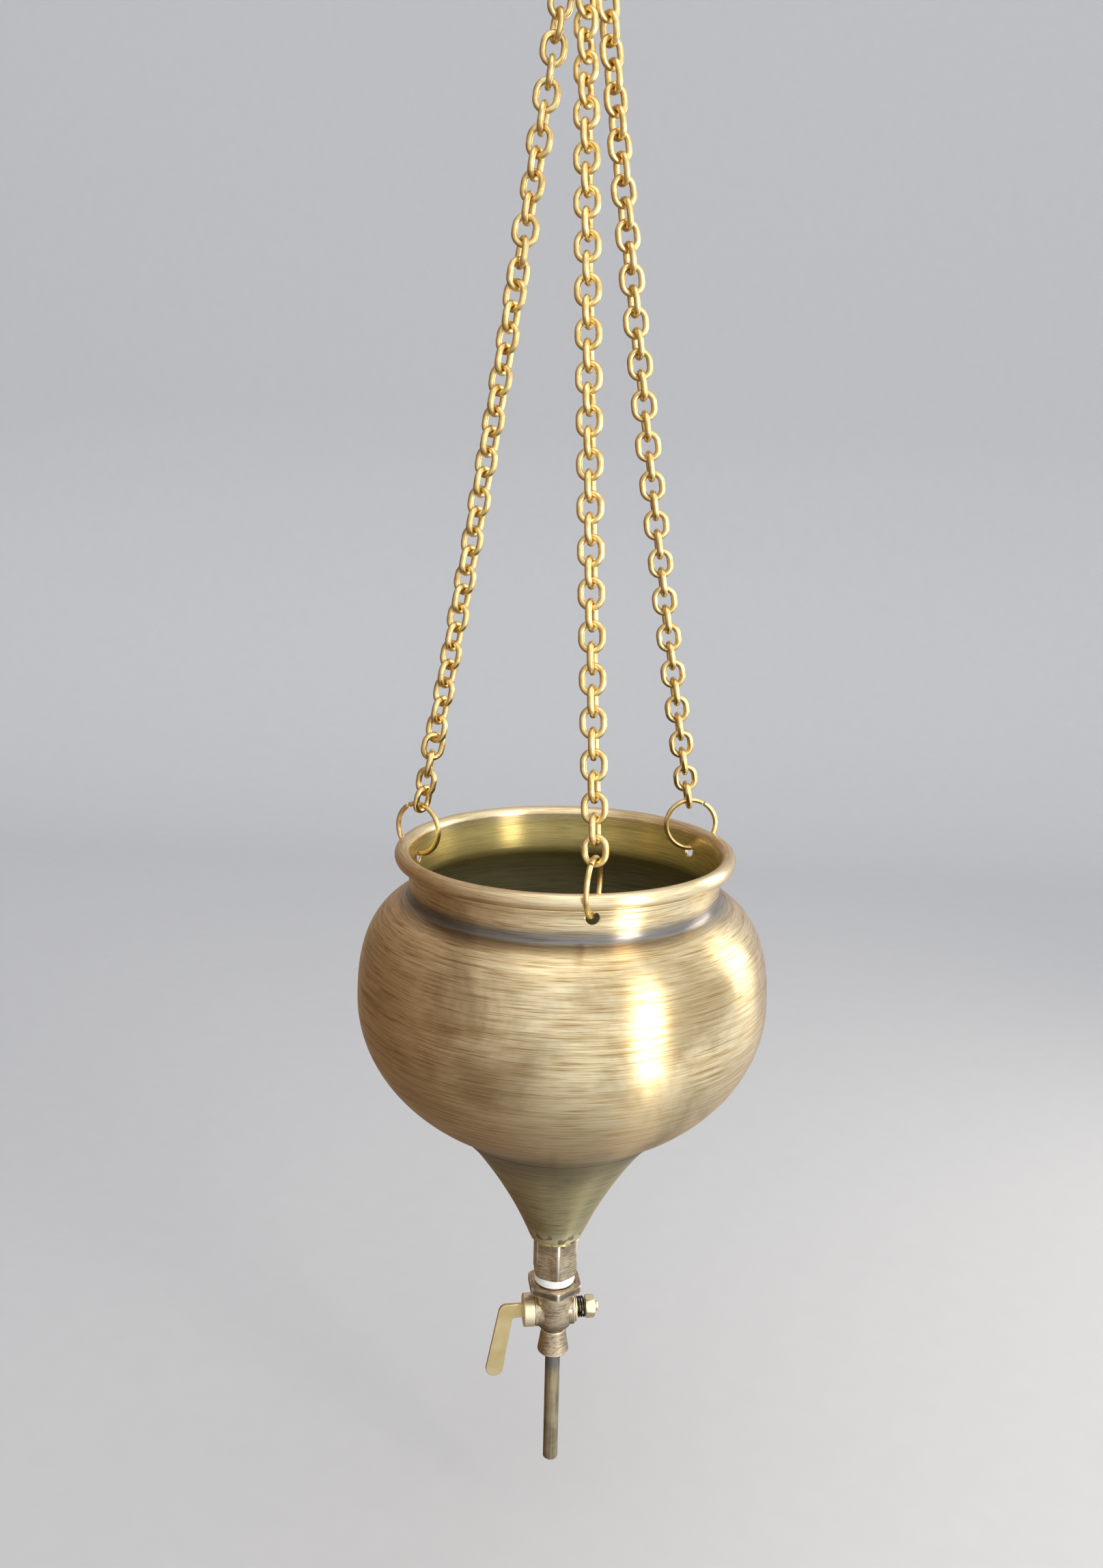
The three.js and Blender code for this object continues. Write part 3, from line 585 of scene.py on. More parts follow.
def plain(points: Array, inside: float = 0.0, wear: float = 0.0) -> Array:
    """Outline rows (radius, height, wear, inside) from plain [radius, height] points."""
    return np.column_stack([points, np.full(len(points), wear), np.full(len(points), inside)])


def arc(middle: Span, half: Span, start: float, end: float, steps: int) -> Array:
    """Points middle + (half_x cos a, half_y sin a), for a from start to end in degrees.

    Args:
        middle: the ellipse's middle.
        half: its two half axes.
        start: the first angle.
        end: the last angle.
        steps: how many steps it takes.

    Returns:
        One row for each point.
    """
    turn = np.radians(np.linspace(start, end, steps + 1))
    return np.array(middle) + np.column_stack([half[0] * np.cos(turn), half[1] * np.sin(turn)])


def bezier(controls: Sequence[tuple[float, ...]], steps: int) -> Array:
    """Points of a Bezier curve, the sum of each control times its Bernstein weight.

    Args:
        controls: the control points.
        steps: how many steps it takes.

    Returns:
        One row for each point.
    """
    share = np.linspace(0, 1, steps + 1)[:, None]
    last = len(controls) - 1
    weights = np.hstack([math.comb(last, place) * share ** place * (1 - share) ** (last - place)
                         for place in range(last + 1)])
    return weights @ np.array(controls, float)


def rounded(corners: Sequence[Point], steps: int = 5, inside: float = 0.0) -> Array:
    """Rounds the corners of an outline.

    Each corner (radius, height, rounding) becomes a quadratic Bezier curve from a point
    `rounding` before it to one as far after it, with a holding point beside each end, so
    that the flats stay flat when shaded. A corner with no rounding stays as it is.

    Args:
        corners: the corners in order.
        steps: the steps of each rounding.
        inside: how far inside the piece the outline lies, from 0 to 1.

    Returns:
        Outline rows (radius, height, wear, inside), with wear 1 on the roundings.
    """
    given = np.array(corners, float)
    places, cuts = given[:, :2], given[:, 2]
    back = np.roll(places, 1, axis=0) - places
    onward = np.roll(places, -1, axis=0) - places
    back /= np.maximum(np.linalg.norm(back, axis=1, keepdims=True), 1e-9)
    onward /= np.maximum(np.linalg.norm(onward, axis=1, keepdims=True), 1e-9)
    share = np.linspace(0, 1, steps + 1)[:, None]
    parts = []
    for place, before, after, cut in zip(places, back, onward, cuts):
        if cut == 0:
            parts.append(np.array([[*place, 0]]))
            continue
        curve = place + before * cut * (1 - share) ** 2 + after * cut * share ** 2
        parts.append(np.array([[*(place + before * (cut + HOLD)), 0]]))
        parts.append(np.column_stack([curve, np.ones(steps + 1)]))
        parts.append(np.array([[*(place + after * (cut + HOLD)), 0]]))
    rows = np.vstack(parts)
    return np.column_stack([rows, np.full(len(rows), inside)])


def beside(line: Array, distance: float) -> Array:
    """A line moved to its left along its normals.

    Args:
        line: [radius, height] points.
        distance: how far it moves.

    Returns:
        The moved points.
    """
    run = np.gradient(line, axis=0)
    run /= np.linalg.norm(run, axis=1, keepdims=True)
    return line + distance * np.column_stack([-run[:, 1], run[:, 0]])


@dataclass
class Sheet:
    """A grid of points over two parameters, in millimetres, closed round its columns.

    Rows follow the outline or the path and columns go round it. A ring closes on its rows
    too; any other sheet is capped flat at both ends.
    """

    points: Array
    wear: Array
    inside: Array
    ring: bool

    def placed(self, turn: Array, shift: Array) -> "Sheet":
        """The same sheet turned by a 3 by 3 matrix, then moved."""
        return Sheet(self.points @ turn.T + shift, self.wear, self.inside, self.ring)


def bar_radius(flats: float) -> float:
    """The radius of a hexagon bar's corners, from its size across the flats."""
    return flats / 2 / math.cos(math.radians(30))


def turned(outline: Array, columns: int, ring: bool = True, flats: float = 0.0) -> Sheet:
    """A turned piece, or one turned from hexagon bar.

    A point is (r cos a, r sin a, h). On hexagon bar r is the soft minimum
    (turned^-q + prism^-q)^(-1/q), and the prism's radius at angle a is half the flats
    divided by the p-norm of cos(a - k 60°) over its six faces, which rounds its corners.
    The bar's corners count as worn.

    Args:
        outline: rows (radius, height, wear, inside), anticlockwise with radius to the right.
        columns: points round the axis.
        ring: whether the outline closes on itself.
        flats: size across the flats of the bar, or 0 for a round piece.

    Returns:
        The sheet, about the Z axis.
    """
    turn = np.arange(columns) * math.tau / columns
    radius = np.repeat(outline[:, :1], columns, axis=1)
    wear = np.repeat(outline[:, 2:3], columns, axis=1)
    if flats:
        half = flats / 2
        faces = np.radians(60) * np.arange(6)[:, None]
        facing = np.maximum(np.cos(turn[None, :] - faces), 0)
        prism = half / (facing ** BAR_CORNER).sum(axis=0) ** (1 / BAR_CORNER)
        # The wear map takes the bar's corners from where the turned shape reaches its faces.
        on_bar = np.clip(2 * (radius / prism - 0.97) / 0.06, 0, 1)
        reach = (prism / half - 1) / (bar_radius(flats) / half - 1)
        at_corner = np.clip((reach - 0.62) / 0.3, 0, 1) ** 2
        power = -EDGE_SHARPNESS
        radius = (radius ** power + prism[None, :] ** power) ** (1 / power)
        wear = np.where(on_bar > 0, np.maximum(wear * (on_bar < 1), at_corner * on_bar), wear)
    points = np.stack([radius * np.cos(turn), radius * np.sin(turn),
                       np.repeat(outline[:, 1:2], columns, axis=1)], axis=-1)
    return Sheet(points, wear, outline[:, 3], ring)


def swept(path: Array, radius: float, sides: int, steps: int, across: Point,
          tip: float = 0.0, ring: bool = False) -> Sheet:
    """A round wire along a path.

    A point is path(s) + r(s) (cos a · normal + sin a · binormal), where the binormal is
    `across` made square to the path. Within `tip` of an end, r falls along a quarter circle.

    Args:
        path: points of the middle line; a ring's last point is next to its first.
        radius: the wire's radius.
        sides: points round the wire.
        steps: steps along it.
        across: a direction that is nowhere along the path.
        tip: rounding of the two ends.
        ring: whether the path closes on itself.

    Returns:
        The sheet.
    """
    line = np.vstack([path, path[:1]]) if ring else path
    along = np.concatenate([[0], np.cumsum(np.linalg.norm(np.diff(line, axis=0), axis=1))])
    length = along[-1]
    if ring:
        distances = np.arange(steps) * length / steps
    else:
        end = tip * (1 - np.cos(np.linspace(0, math.pi / 2, 6)[:-1]))
        distances = np.concatenate([end, np.linspace(tip, length - tip, steps), length - end[::-1]])
    middle = np.column_stack([np.interp(distances, along, line[:, axis]) for axis in range(3)])
    if ring:
        tangent = np.roll(middle, -1, axis=0) - np.roll(middle, 1, axis=0)
    else:
        tangent = np.gradient(middle, distances, axis=0)
    tangent /= np.linalg.norm(tangent, axis=1, keepdims=True)
    binormal = np.array(across) - tangent * (tangent @ np.array(across))[:, None]
    binormal /= np.linalg.norm(binormal, axis=1, keepdims=True)
    normal = np.cross(binormal, tangent)
    wire = np.full(len(distances), radius)
    if tip:
        short = np.maximum(tip - np.minimum(distances, length - distances), 0)
        wire = radius - tip + np.sqrt(np.maximum(tip ** 2 - short ** 2, 0))
    turn = np.arange(sides) * math.tau / sides
    points = middle[:, None, :] + wire[:, None, None] * (
        np.cos(turn)[None, :, None] * normal[:, None, :]
        + np.sin(turn)[None, :, None] * binormal[:, None, :])
    return Sheet(points, np.zeros(points.shape[:2]), np.zeros(len(points)), ring)


def plate(outline: Array, half: float, rounding: float, steps: int = 4) -> Sheet:
    """A flat plate with rounded rims, its thickness along Y.

    Row by row, the outline lies at y = ±(half - rounding (1 - sin b)) and is drawn in along
    its normals by rounding (1 - cos b), for b from a quarter turn to none and back.

    Args:
        outline: points (x, z), clockwise with z up.
        half: half the thickness.
        rounding: radius of the rims.
        steps: steps of each rim.

    Returns:
        The sheet, capped by its two faces.
    """
    run = np.roll(outline, -1, axis=0) - np.roll(outline, 1, axis=0)
    run /= np.linalg.norm(run, axis=1, keepdims=True)
    outward = np.column_stack([-run[:, 1], run[:, 0]])
    bend = np.linspace(math.pi / 2, 0, steps + 1)
    inset = np.concatenate([[rounding + HOLD], rounding * (1 - np.cos(bend))])
    level = np.concatenate([[half], half - rounding * (1 - np.sin(bend))])
    inset = np.concatenate([inset, inset[::-1]])
    level = np.concatenate([-level, level[::-1]])
    flat = outline[None] - inset[:, None, None] * outward[None]
    depth = np.broadcast_to(level[:, None], flat.shape[:2])
    points = np.stack([flat[..., 0], depth, flat[..., 1]], axis=-1)
    wear = np.repeat((inset < rounding + HOLD / 2).astype(float)[:, None], len(outline), axis=1)
    return Sheet(points, wear, np.zeros(len(points)), False)


def build(name: str, sheets: Sequence[Sheet], sharp: float = SHARP) -> Piece:
    """Makes one mesh object of several sheets.

    Each sheet gives its four-sided faces, two flat caps unless it is a ring, and two maps:
    "lay" (share of a turn, metres along the outline) and "wear" (edge wear, inside).

    Args:
        name: the piece's name.
        sheets: its sheets, in millimetres.
        sharp: the angle in degrees past which an edge is shaded sharp.

    Returns:
        The object, at the origin.
    """
    corners, starts, lay, wear, places = [], [], [], [], []
    first, loops = 0, 0
    for sheet in sheets:
        rows, columns = sheet.points.shape[:2]
        spans = rows if sheet.ring else rows - 1
        row, column = (grid.ravel() for grid in np.indices((spans, columns)))
        row_ends = np.stack([row, row, row + 1, row + 1], axis=1)
        column_ends = np.stack([column, column + 1, column + 1, column], axis=1)
        quads = (row_ends % rows) * columns + column_ends % columns
        line = np.vstack([sheet.points[:, 0], sheet.points[:1, 0]])
        along = np.concatenate([[0], np.cumsum(np.linalg.norm(np.diff(line, axis=0), axis=1))]) * MM
        edge = sheet.wear.ravel()
        corners.append(first + quads.ravel())
        starts.append(loops + 4 * np.arange(len(quads)))
        loops += quads.size
        lay.append(np.stack([column_ends / columns, along[row_ends]], axis=-1).reshape(-1, 2))
        wear.append(np.stack([edge[quads], sheet.inside[row_ends % rows]], axis=-1).reshape(-1, 2))
        if not sheet.ring:
            around = np.arange(columns)
            for cap, level in ((around[::-1], 0), (around, rows - 1)):
                corners.append(first + level * columns + cap)
                starts.append(np.array([loops]))
                loops += columns
                lay.append(np.column_stack([cap / columns, np.full(columns, along[level])]))
                inside = np.full(columns, sheet.inside[level])
                wear.append(np.column_stack([sheet.wear[level][cap], inside]))
        places.append(sheet.points.reshape(-1, 3) * MM)
        first += rows * columns
    mesh = bpy.data.meshes.new(name)
    mesh.vertices.add(first)
    mesh.vertices.foreach_set("co", np.concatenate(places).ravel())
    mesh.loops.add(loops)
    mesh.loops.foreach_set("vertex_index", np.concatenate(corners).astype(np.int32))
    start = np.concatenate(starts).astype(np.int32)
    mesh.polygons.add(len(start))
    mesh.polygons.foreach_set("loop_start", start)
    mesh.update(calc_edges=True)
    for title, values in (("lay", lay), ("wear", wear)):
        mesh.uv_layers.new(name=title).uv.foreach_set("vector", np.concatenate(values).ravel())
    mesh.shade_smooth()
    mesh.set_sharp_from_angle(angle=math.radians(sharp))
    piece = bpy.data.objects.new(name, mesh)
    bpy.context.scene.collection.objects.link(piece)
    return piece


def cut(piece: Piece, tools: Sequence[Sheet], join: bool = False) -> Piece:
    """Cuts tools out of a piece, or joins them to it, and keeps its maps.

    Args:
        piece: the piece.
        tools: closed sheets in millimetres.
        join: whether they are joined and not cut.

    Returns:
        The same piece with its new mesh.
    """
    for number, sheet in enumerate(tools):
        tool = build(f"{piece.name}_tool{number}", [sheet])
        change = piece.modifiers.new("cut", "BOOLEAN")
        change.operation = "UNION" if join else "DIFFERENCE"
        change.solver = "EXACT"
        change.object = tool
        bpy.context.view_layer.update()
        changed = piece.evaluated_get(bpy.context.evaluated_depsgraph_get())
        mesh = bpy.data.meshes.new_from_object(changed)
        piece.modifiers.remove(change)
        old, piece.data = piece.data, mesh
        bpy.data.meshes.remove(old)
        spent = tool.data
        bpy.data.objects.remove(tool)
        bpy.data.meshes.remove(spent)
    piece.data.shade_smooth()
    piece.data.set_sharp_from_angle(angle=math.radians(SHARP))
    return piece


def dress(piece: Piece, finish: Finish, body: str, node: str) -> Piece:
    """Gives a piece its finish, and ties it to its body and to the solid that it stands for.

    Args:
        piece: the piece.
        finish: its finish.
        body: the body that carries it.
        node: the CAD node that it replaces.

    Returns:
        The same piece.
    """
    piece.data.materials.clear()
    piece.data.materials.append(finish.material())
    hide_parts(node)
    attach(piece, body)
    return piece


def around_z(degrees: float) -> Array:
    """The 3 by 3 matrix of a turn about Z."""
    return np.array(Matrix.Rotation(math.radians(degrees), 3, "Z"))


def gather_circle(wire: float) -> Span:
    """The gathering ring's middle line: the height of its middle, and its radius."""
    low, high = (corner[2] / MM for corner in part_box("gather_ring"))
    return (low + high) / 2, (high - low - wire) / 2


ALONG_X = np.array([[0, 0, 1], [0, 1, 0], [-1, 0, 0]], float)  # lays a Z-axis piece along X


@dataclass(frozen=True)
class Joint:
    """A joint's place in millimetres and the direction of its axis."""

    place: Array
    axis: Array

    @classmethod
    def named(cls, name: str) -> "Joint":
        """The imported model's joint of that name."""
        found = next(joint for joint in frame["joints"] if joint["name"] == name)
        return cls(np.array(found["pos_m"], float) / MM, np.array(found["axis"], float))

    @property
    def heading(self) -> float:
        """The axis's direction in degrees from +X towards +Y."""
        return math.degrees(math.atan2(self.axis[1], self.axis[0]))


@dataclass(frozen=True)
class OilBowl:
    """The bowl and the funnel brazed under it. Heights are from the middle of the bead."""

    rim: float  # height of the bead's middle in the frame
    finish: Finish = SpunBrass("spun_brass_bowl", corner_mm=22.5)
    # The funnel's brass is duller and greyer than the bowl's, and darker still as painted shade on
    # its downward-facing cone.
    funnel_finish: Finish = SpunBrass(
        "spun_brass_funnel", light="cbc092", deep="847a54", tarnish="60583d",
        radius_mm=30, streak_mm=13, line_mm=0.5, roughness=0.34, ends=True)
    sheet: float = 1.2
    bead_middle: float = 80.0
    bead_width: float = 6.0
    bead_height: float = 7.6
    neck_top: float = 77.0
    neck: float = 75.6
    neck_length: float = 17.0
    neck_fillet: float = 4.5
    shoulder_slope: float = 24.0
    shoulder_fullness: float = 20.0
    belly: float = 101.4
    belly_depth: float = 72.0
    belly_roundness: float = 24.0
    base_depth: float = 78.0
    seam: float = 54.5
    braze: float = 18.0
    hole_depth: float = 8.5
    hole: float = 3.0  # radius
    hole_bevel: float = 0.35
    step_low: float = -7.4  # the raised band that the rolling leaves under the bead
    step_high: float = -4.6
    step_rise: float = 0.45
    funnel_end: float = 14.2
    funnel_depth: float = 207.2
    funnel_bend: tuple[float, float] = (27.0, -172.2)
    funnel_lip: float = 2.2
    collar_height: float = 3.0
    collar_inset: float = 2.3
    seam_gap: float = 0.12  # between the bowl and the funnel where they part
    spigot_hole: float = 9.3
    rubbed_rows: int = 7  # the lip's outline is rubbed bright on these, round its hole
    bead_wear: float = 0.4
    neck_inside: float = 0.3  # how far inside the neck's inner face counts, from 0 to 1
    shaded_over: float = 16.0  # below the neck, the painted shade inside deepens over this height
    columns: int = 224

    @property
    def seam_height(self) -> float:
        """Height where the ellipse of the base reaches the seam's radius."""
        return -self.belly_depth - self.base_depth * math.sqrt(1 - (self.seam / self.belly) ** 2)

    def side(self) -> Array:
        """The bowl's outside: an ellipse, a cubic Bezier curve and a fillet.

        Returns:
            [radius, height] points from the seam up to the neck.
        """
        slope, fillet = math.radians(self.shoulder_slope), self.neck_fillet
        start = math.degrees(math.acos(self.seam / self.belly))
        middle = (self.neck + fillet, -self.neck_length)
        top = (middle[0] - fillet * math.sin(slope), middle[1] - fillet * math.cos(slope))
        full = (top[0] + self.shoulder_fullness * math.cos(slope),
                top[1] - self.shoulder_fullness * math.sin(slope))
        base = arc((0, -self.belly_depth), (self.belly, self.base_depth), -start, 0, 44)
        shoulder = bezier([
            (self.belly, -self.belly_depth), (self.belly, self.belly_roundness - self.belly_depth),
            full, top], 36)
        corner = arc(middle, (fillet, fillet), 270 - self.shoulder_slope, 180, 9)
        return np.vstack([base, shoulder[1:], corner[1:]])

    def cone(self) -> Array:
        """The funnel's outside from its lower end up to the seam, a quadratic Bezier curve."""
        end = (self.funnel_end, self.funnel_lip - self.funnel_depth)
        return bezier([(self.seam, self.seam_height), self.funnel_bend, end], 60)[::-1]

    def brazed(self) -> tuple[Array, Array]:
        """The outsides of the funnel and the bowl, with the corner between them filled by braze.

        The filling is a quadratic Bezier curve whose control point is the corner and whose ends
        lie `braze` from it on either side. The two pieces part at its middle.

        Returns:
            The funnel's outside and the bowl's, both from below upwards.
        """
        corner = np.array([self.seam, self.seam_height])
        below, above = (line[np.linalg.norm(line - corner, axis=1) > self.braze]
                        for line in (self.cone(), self.side()))
        half = 8
        filling = bezier([tuple(below[-1]), tuple(corner), tuple(above[0])], 2 * half)
        return np.vstack([below, filling[1:half + 1]]), np.vstack([filling[half:-1], above])

    def neck_at(self, height: float) -> float:
        """The neck's outer radius at a height: it widens evenly up to the bead."""
        share = (height + self.neck_length) / (self.neck_length - self.bead_height / 2)
        return self.neck + (self.neck_top - self.neck) * share

    def bowl(self) -> Piece:
        """Turns the bowl with its rolled bead and the band under it, and drills its holes.

        Returns:
            The piece.
        """
        low, high, rise = self.step_low, self.step_high, self.step_rise
        band = rounded([
            (self.neck_at(low - 0.5), low - 0.5, 0.0), (self.neck_at(low), low, 0.12),
            (self.neck_at(low) + rise, low + 0.3, 0.25),
            (self.neck_at(high) + rise, high - 0.3, 0.25),
            (self.neck_at(high), high, 0.12), (self.neck_at(high + 0.4), high + 0.4, 0.0)], 4)
        half = self.bead_height / 2
        middle = (self.bead_middle, 0.0)
        outer = arc(middle, (self.bead_width / 2, half), -124, 90, 26)
        inward = self.bead_middle - self.neck_top + self.sheet
        roll = arc(middle, (inward, half), 90, 180, 14)
        wall = np.array([
            (self.neck_at(level) - self.sheet, level) for level in (-half, -7.0, -12.0)])
        inner = beside(self.side(), self.sheet)[::-1]
        # Painted shade inside: it deepens with depth below the neck.
        depth = np.clip((-inner[:, 1] - self.neck_length) / self.shaded_over, 0, 1)
        shaded_inside = self.neck_inside + (1 - self.neck_inside) * depth
        outline = np.vstack([
            plain(self.brazed()[1]), band, plain(outer, wear=self.bead_wear),
            plain(roll[1:], wear=self.bead_wear), plain(wall, self.neck_inside),
            np.column_stack([inner, np.zeros(len(inner)), shaded_inside])])
        outline[:, 1] += self.rim
        piece = build("bowl_spun", [turned(outline, self.columns)])
        rings = (Joint.named(f"jump_ring_{name}_turn") for name in Chains.NAMES)
        return cut(piece, [self.hole_tool(ring) for ring in rings])

    def hole_tool(self, ring: Joint) -> Sheet:
        """A drill for a jump ring's hole, wider at the neck's two faces to bevel its edges.

        Args:
            ring: the jump ring's joint.

        Returns:
            The drill, in place.
        """
        outer = self.neck_at(-self.hole_depth)
        inner, past = outer - self.sheet, 4.0
        wide = self.hole + self.hole_bevel
        profile = plain(np.array([
            (wide, inner - past), (wide, inner), (self.hole, inner + self.hole_bevel),
            (self.hole, outer - self.hole_bevel), (wide, outer), (wide, outer + past)]))
        azimuth = math.degrees(math.atan2(ring.place[1], ring.place[0]))
        drill, level = turned(profile, 40, ring=False), self.rim - self.hole_depth
        return drill.placed(around_z(azimuth) @ ALONG_X, np.array([0, 0, level]))

    def funnel(self) -> Piece:
        """Turns the funnel: its curved cone, its collar and its turned-in lower end.

        Returns:
            The piece.
        """
        top = self.seam_height - self.seam_gap
        end = -self.funnel_depth
        cone = self.brazed()[0] - np.array([0, self.seam_gap])
        collar = self.seam - self.collar_inset
        lip = rounded([
            (self.spigot_hole, end + self.sheet, 0.2),
            (self.spigot_hole, end, 0.3),
            (self.funnel_end - 0.25, end, 1.5),
        ], 6)
        lip[self.rubbed_rows:, 2] = 0.0
        rim = rounded([
            (collar, top, 0.0), (collar, top + self.collar_height, 0.3),
            (collar - self.sheet, top + self.collar_height, 0.3)], 3, inside=1.0)
        inner = beside(self.cone(), self.sheet)[::-1]
        clear = (inner[:, 0] < collar - self.sheet) & (inner[:, 1] > end + self.sheet)
        # The collar's inner side and the funnel's inside take the full painted inner shade.
        outline = np.vstack([lip, plain(cone), rim, plain(inner[clear], 1.0)])
        outline[:, 1] += self.rim
        return build("funnel_spun", [turned(outline, self.columns)])

    def make(self) -> list[Piece]:
        """Builds and dresses both pieces."""
        return [
            dress(self.bowl(), self.finish, "pot", "bowl"),
            dress(self.funnel(), self.funnel_finish, "pot", "funnel"),
        ]


@dataclass(frozen=True)
class Chains:
    """The three chains and the jump rings that they hang the bowl by."""

    rim: float
    finish: Finish = SatinBrass("satin_brass_chain")
    ring_outside: float = 28.0
    ring_wire: float = 2.5
    ring_split: float = 0.8
    ring_split_angle: float = 62.0
    links: int = 43
    link_wire: float = 3.0
    link_width: float = 12.3
    merge: float = 0.16
    sag: float = 3.0
    top_turn: float = 45.0
    gather_wire: float = 3.2
    wobble: float = 3.0  # degrees by which a link may sit askew

    NAMES: ClassVar[tuple[str, ...]] = ("front", "right", "left")
    TOP_PLACES: ClassVar[dict[str, float]] = {"front": -1.3, "right": 5.4, "left": -6.9}
    TWISTS: ClassVar[dict[str, tuple[tuple[int, int], ...]]] = {
        "front": ((0, 0), (32, 0)),
        "right": ((0, 0), (20, 0)),
        "left": ((1, 0), (4, 90), (26, 90), (31, 0)),
    }

    @property
    def ring_mean(self) -> float:
        """Radius of a jump ring's middle line."""
        return (self.ring_outside - self.ring_wire) / 2

    def jump_ring(self, name: str) -> Piece:
        """A split ring of round wire: mean·(cos a, 0, sin a), turned to its joint's axis.

        Args:
            name: which of the three.

        Returns:
            The piece.
        """
        joint = Joint.named(f"jump_ring_{name}_turn")
        half = math.degrees(self.ring_split / 2 / self.ring_mean)
        start = self.ring_split_angle + half
        flat = arc((0, 0), (self.ring_mean, self.ring_mean), start, start + 360 - 2 * half, 300)
        path = np.insert(flat, 1, 0, axis=1)
        ring = swept(path, self.ring_wire / 2, sides=20, steps=120, across=(0, 1, 0), tip=0.25)
        in_hole = ring.placed(around_z(joint.heading - 90), joint.place)
        return build(f"jump_ring_{name}_wire", [in_hole])

    def twist(self, name: str, facing: float) -> Array:
        """The twist of each link in degrees, eased along the chain's own list.

        Args:
            name: which of the three chains.
            facing: the bearing of its jump ring.

        Returns:
            One angle for each link.
        """
        known = self.TWISTS[name]
        level = -facing + 180 * math.floor((facing + known[-1][1] - self.top_turn) / 180 + 0.5)
        last = self.links - 1
        knots = np.array([*known, (last - 1, level + self.top_turn), (last, level)], float)
        return np.interp(np.arange(self.links), knots[:, 0], knots[:, 1])

    def gather_point(self, x: float) -> Array:
        """The middle of the gathering ring's wire, under its middle, at a distance along X."""
        middle, mean = gather_circle(self.gather_wire)
        return np.array([x, 0, middle - math.sqrt(mean ** 2 - x ** 2)])

    def chain(self, name: str) -> Piece:
        """A chain of oval links.

        A link is a stadium of two half circles joined by straights, of round wire. Link i
        stands at start + along·reach·s + sag way·4·sag·s(1 - s), with s = (i + ½)/links, and
        is turned a quarter turn about the chain from the one before it.

        Args:
            name: which of the three.

        Returns:
            The piece.
        """
        joint = Joint.named(f"jump_ring_{name}_turn")
        facing = joint.heading - 90
        high = self.gather_point(self.TOP_PLACES[name])
        outward = np.array([math.cos(math.radians(facing)), math.sin(math.radians(facing)), 0])
        pull = high - joint.place
        in_plane = outward * (pull @ outward)
        in_plane[2] = pull[2]
        low = joint.place + in_plane / np.linalg.norm(in_plane) * self.ring_mean
        along = (high - low) / np.linalg.norm(high - low)
        lower = GAP + (self.ring_wire + self.link_wire) / 2
        upper = GAP + (self.gather_wire + self.link_wire) / 2
        reach = np.linalg.norm(high - low) + lower + upper - self.link_wire
        start = low + along * (self.link_wire / 2 - lower)
        sag_way = -np.array([0, 0, 1]) + along * along[2]
        sag_way /= np.linalg.norm(sag_way)
        share = (np.arange(self.links) + 0.5)[:, None] / self.links
        tangent = along + sag_way * 4 * self.sag * (1 - 2 * share) / reach
        tangent /= np.linalg.norm(tangent, axis=1, keepdims=True)
        middle = start + along * reach * share + sag_way * 4 * self.sag * share * (1 - share)
        chance = np.random.default_rng(self.NAMES.index(name))
        askew = chance.uniform(-self.wobble, self.wobble, self.links)
        quarters = 90 * np.arange(1, self.links + 1)
        turn = np.radians(facing + quarters + self.twist(name, facing) + askew)
        width = np.column_stack([np.cos(turn), np.sin(turn), np.zeros(self.links)])
        width -= tangent * (width * tangent).sum(axis=1, keepdims=True)
        width /= np.linalg.norm(width, axis=1, keepdims=True)
        places = np.stack([tangent, width, np.cross(tangent, width)], axis=2)
        link = self.link(reach / self.links)
        links = [link.placed(place, spot) for place, spot in zip(places, middle)]
        return build(f"chain_{name}_links", links)

    def link(self, pitch: float) -> Sheet:
        """One link, its length along X and its width along Y.

        Args:
            pitch: the distance from one link's middle to the next.

        Returns:
            The link, its middle at the origin.
        """
        bow = (self.link_width - self.link_wire) / 2
        stretch = (pitch + self.link_wire - self.merge) / 2 - bow
        near = arc((stretch, 0), (bow, bow), -90, 90, 60)
        far = arc((-stretch, 0), (bow, bow), 90, 270, 60)
        path = np.insert(np.vstack([near, far]), 2, 0, axis=1)
        return swept(path, self.link_wire / 2, sides=12, steps=34, across=(0, 0, 1), ring=True)

    def make(self) -> list[Piece]:
        """Builds and dresses the rings and the chains.

        Returns:
            The six pieces.
        """
        pieces = []
        for name in self.NAMES:
            ring, chain = f"jump_ring_{name}", f"chain_{name}"
            pieces.append(dress(self.jump_ring(name), self.finish, ring, ring))
            pieces.append(dress(self.chain(name), self.finish, "pot", chain))
        return pieces


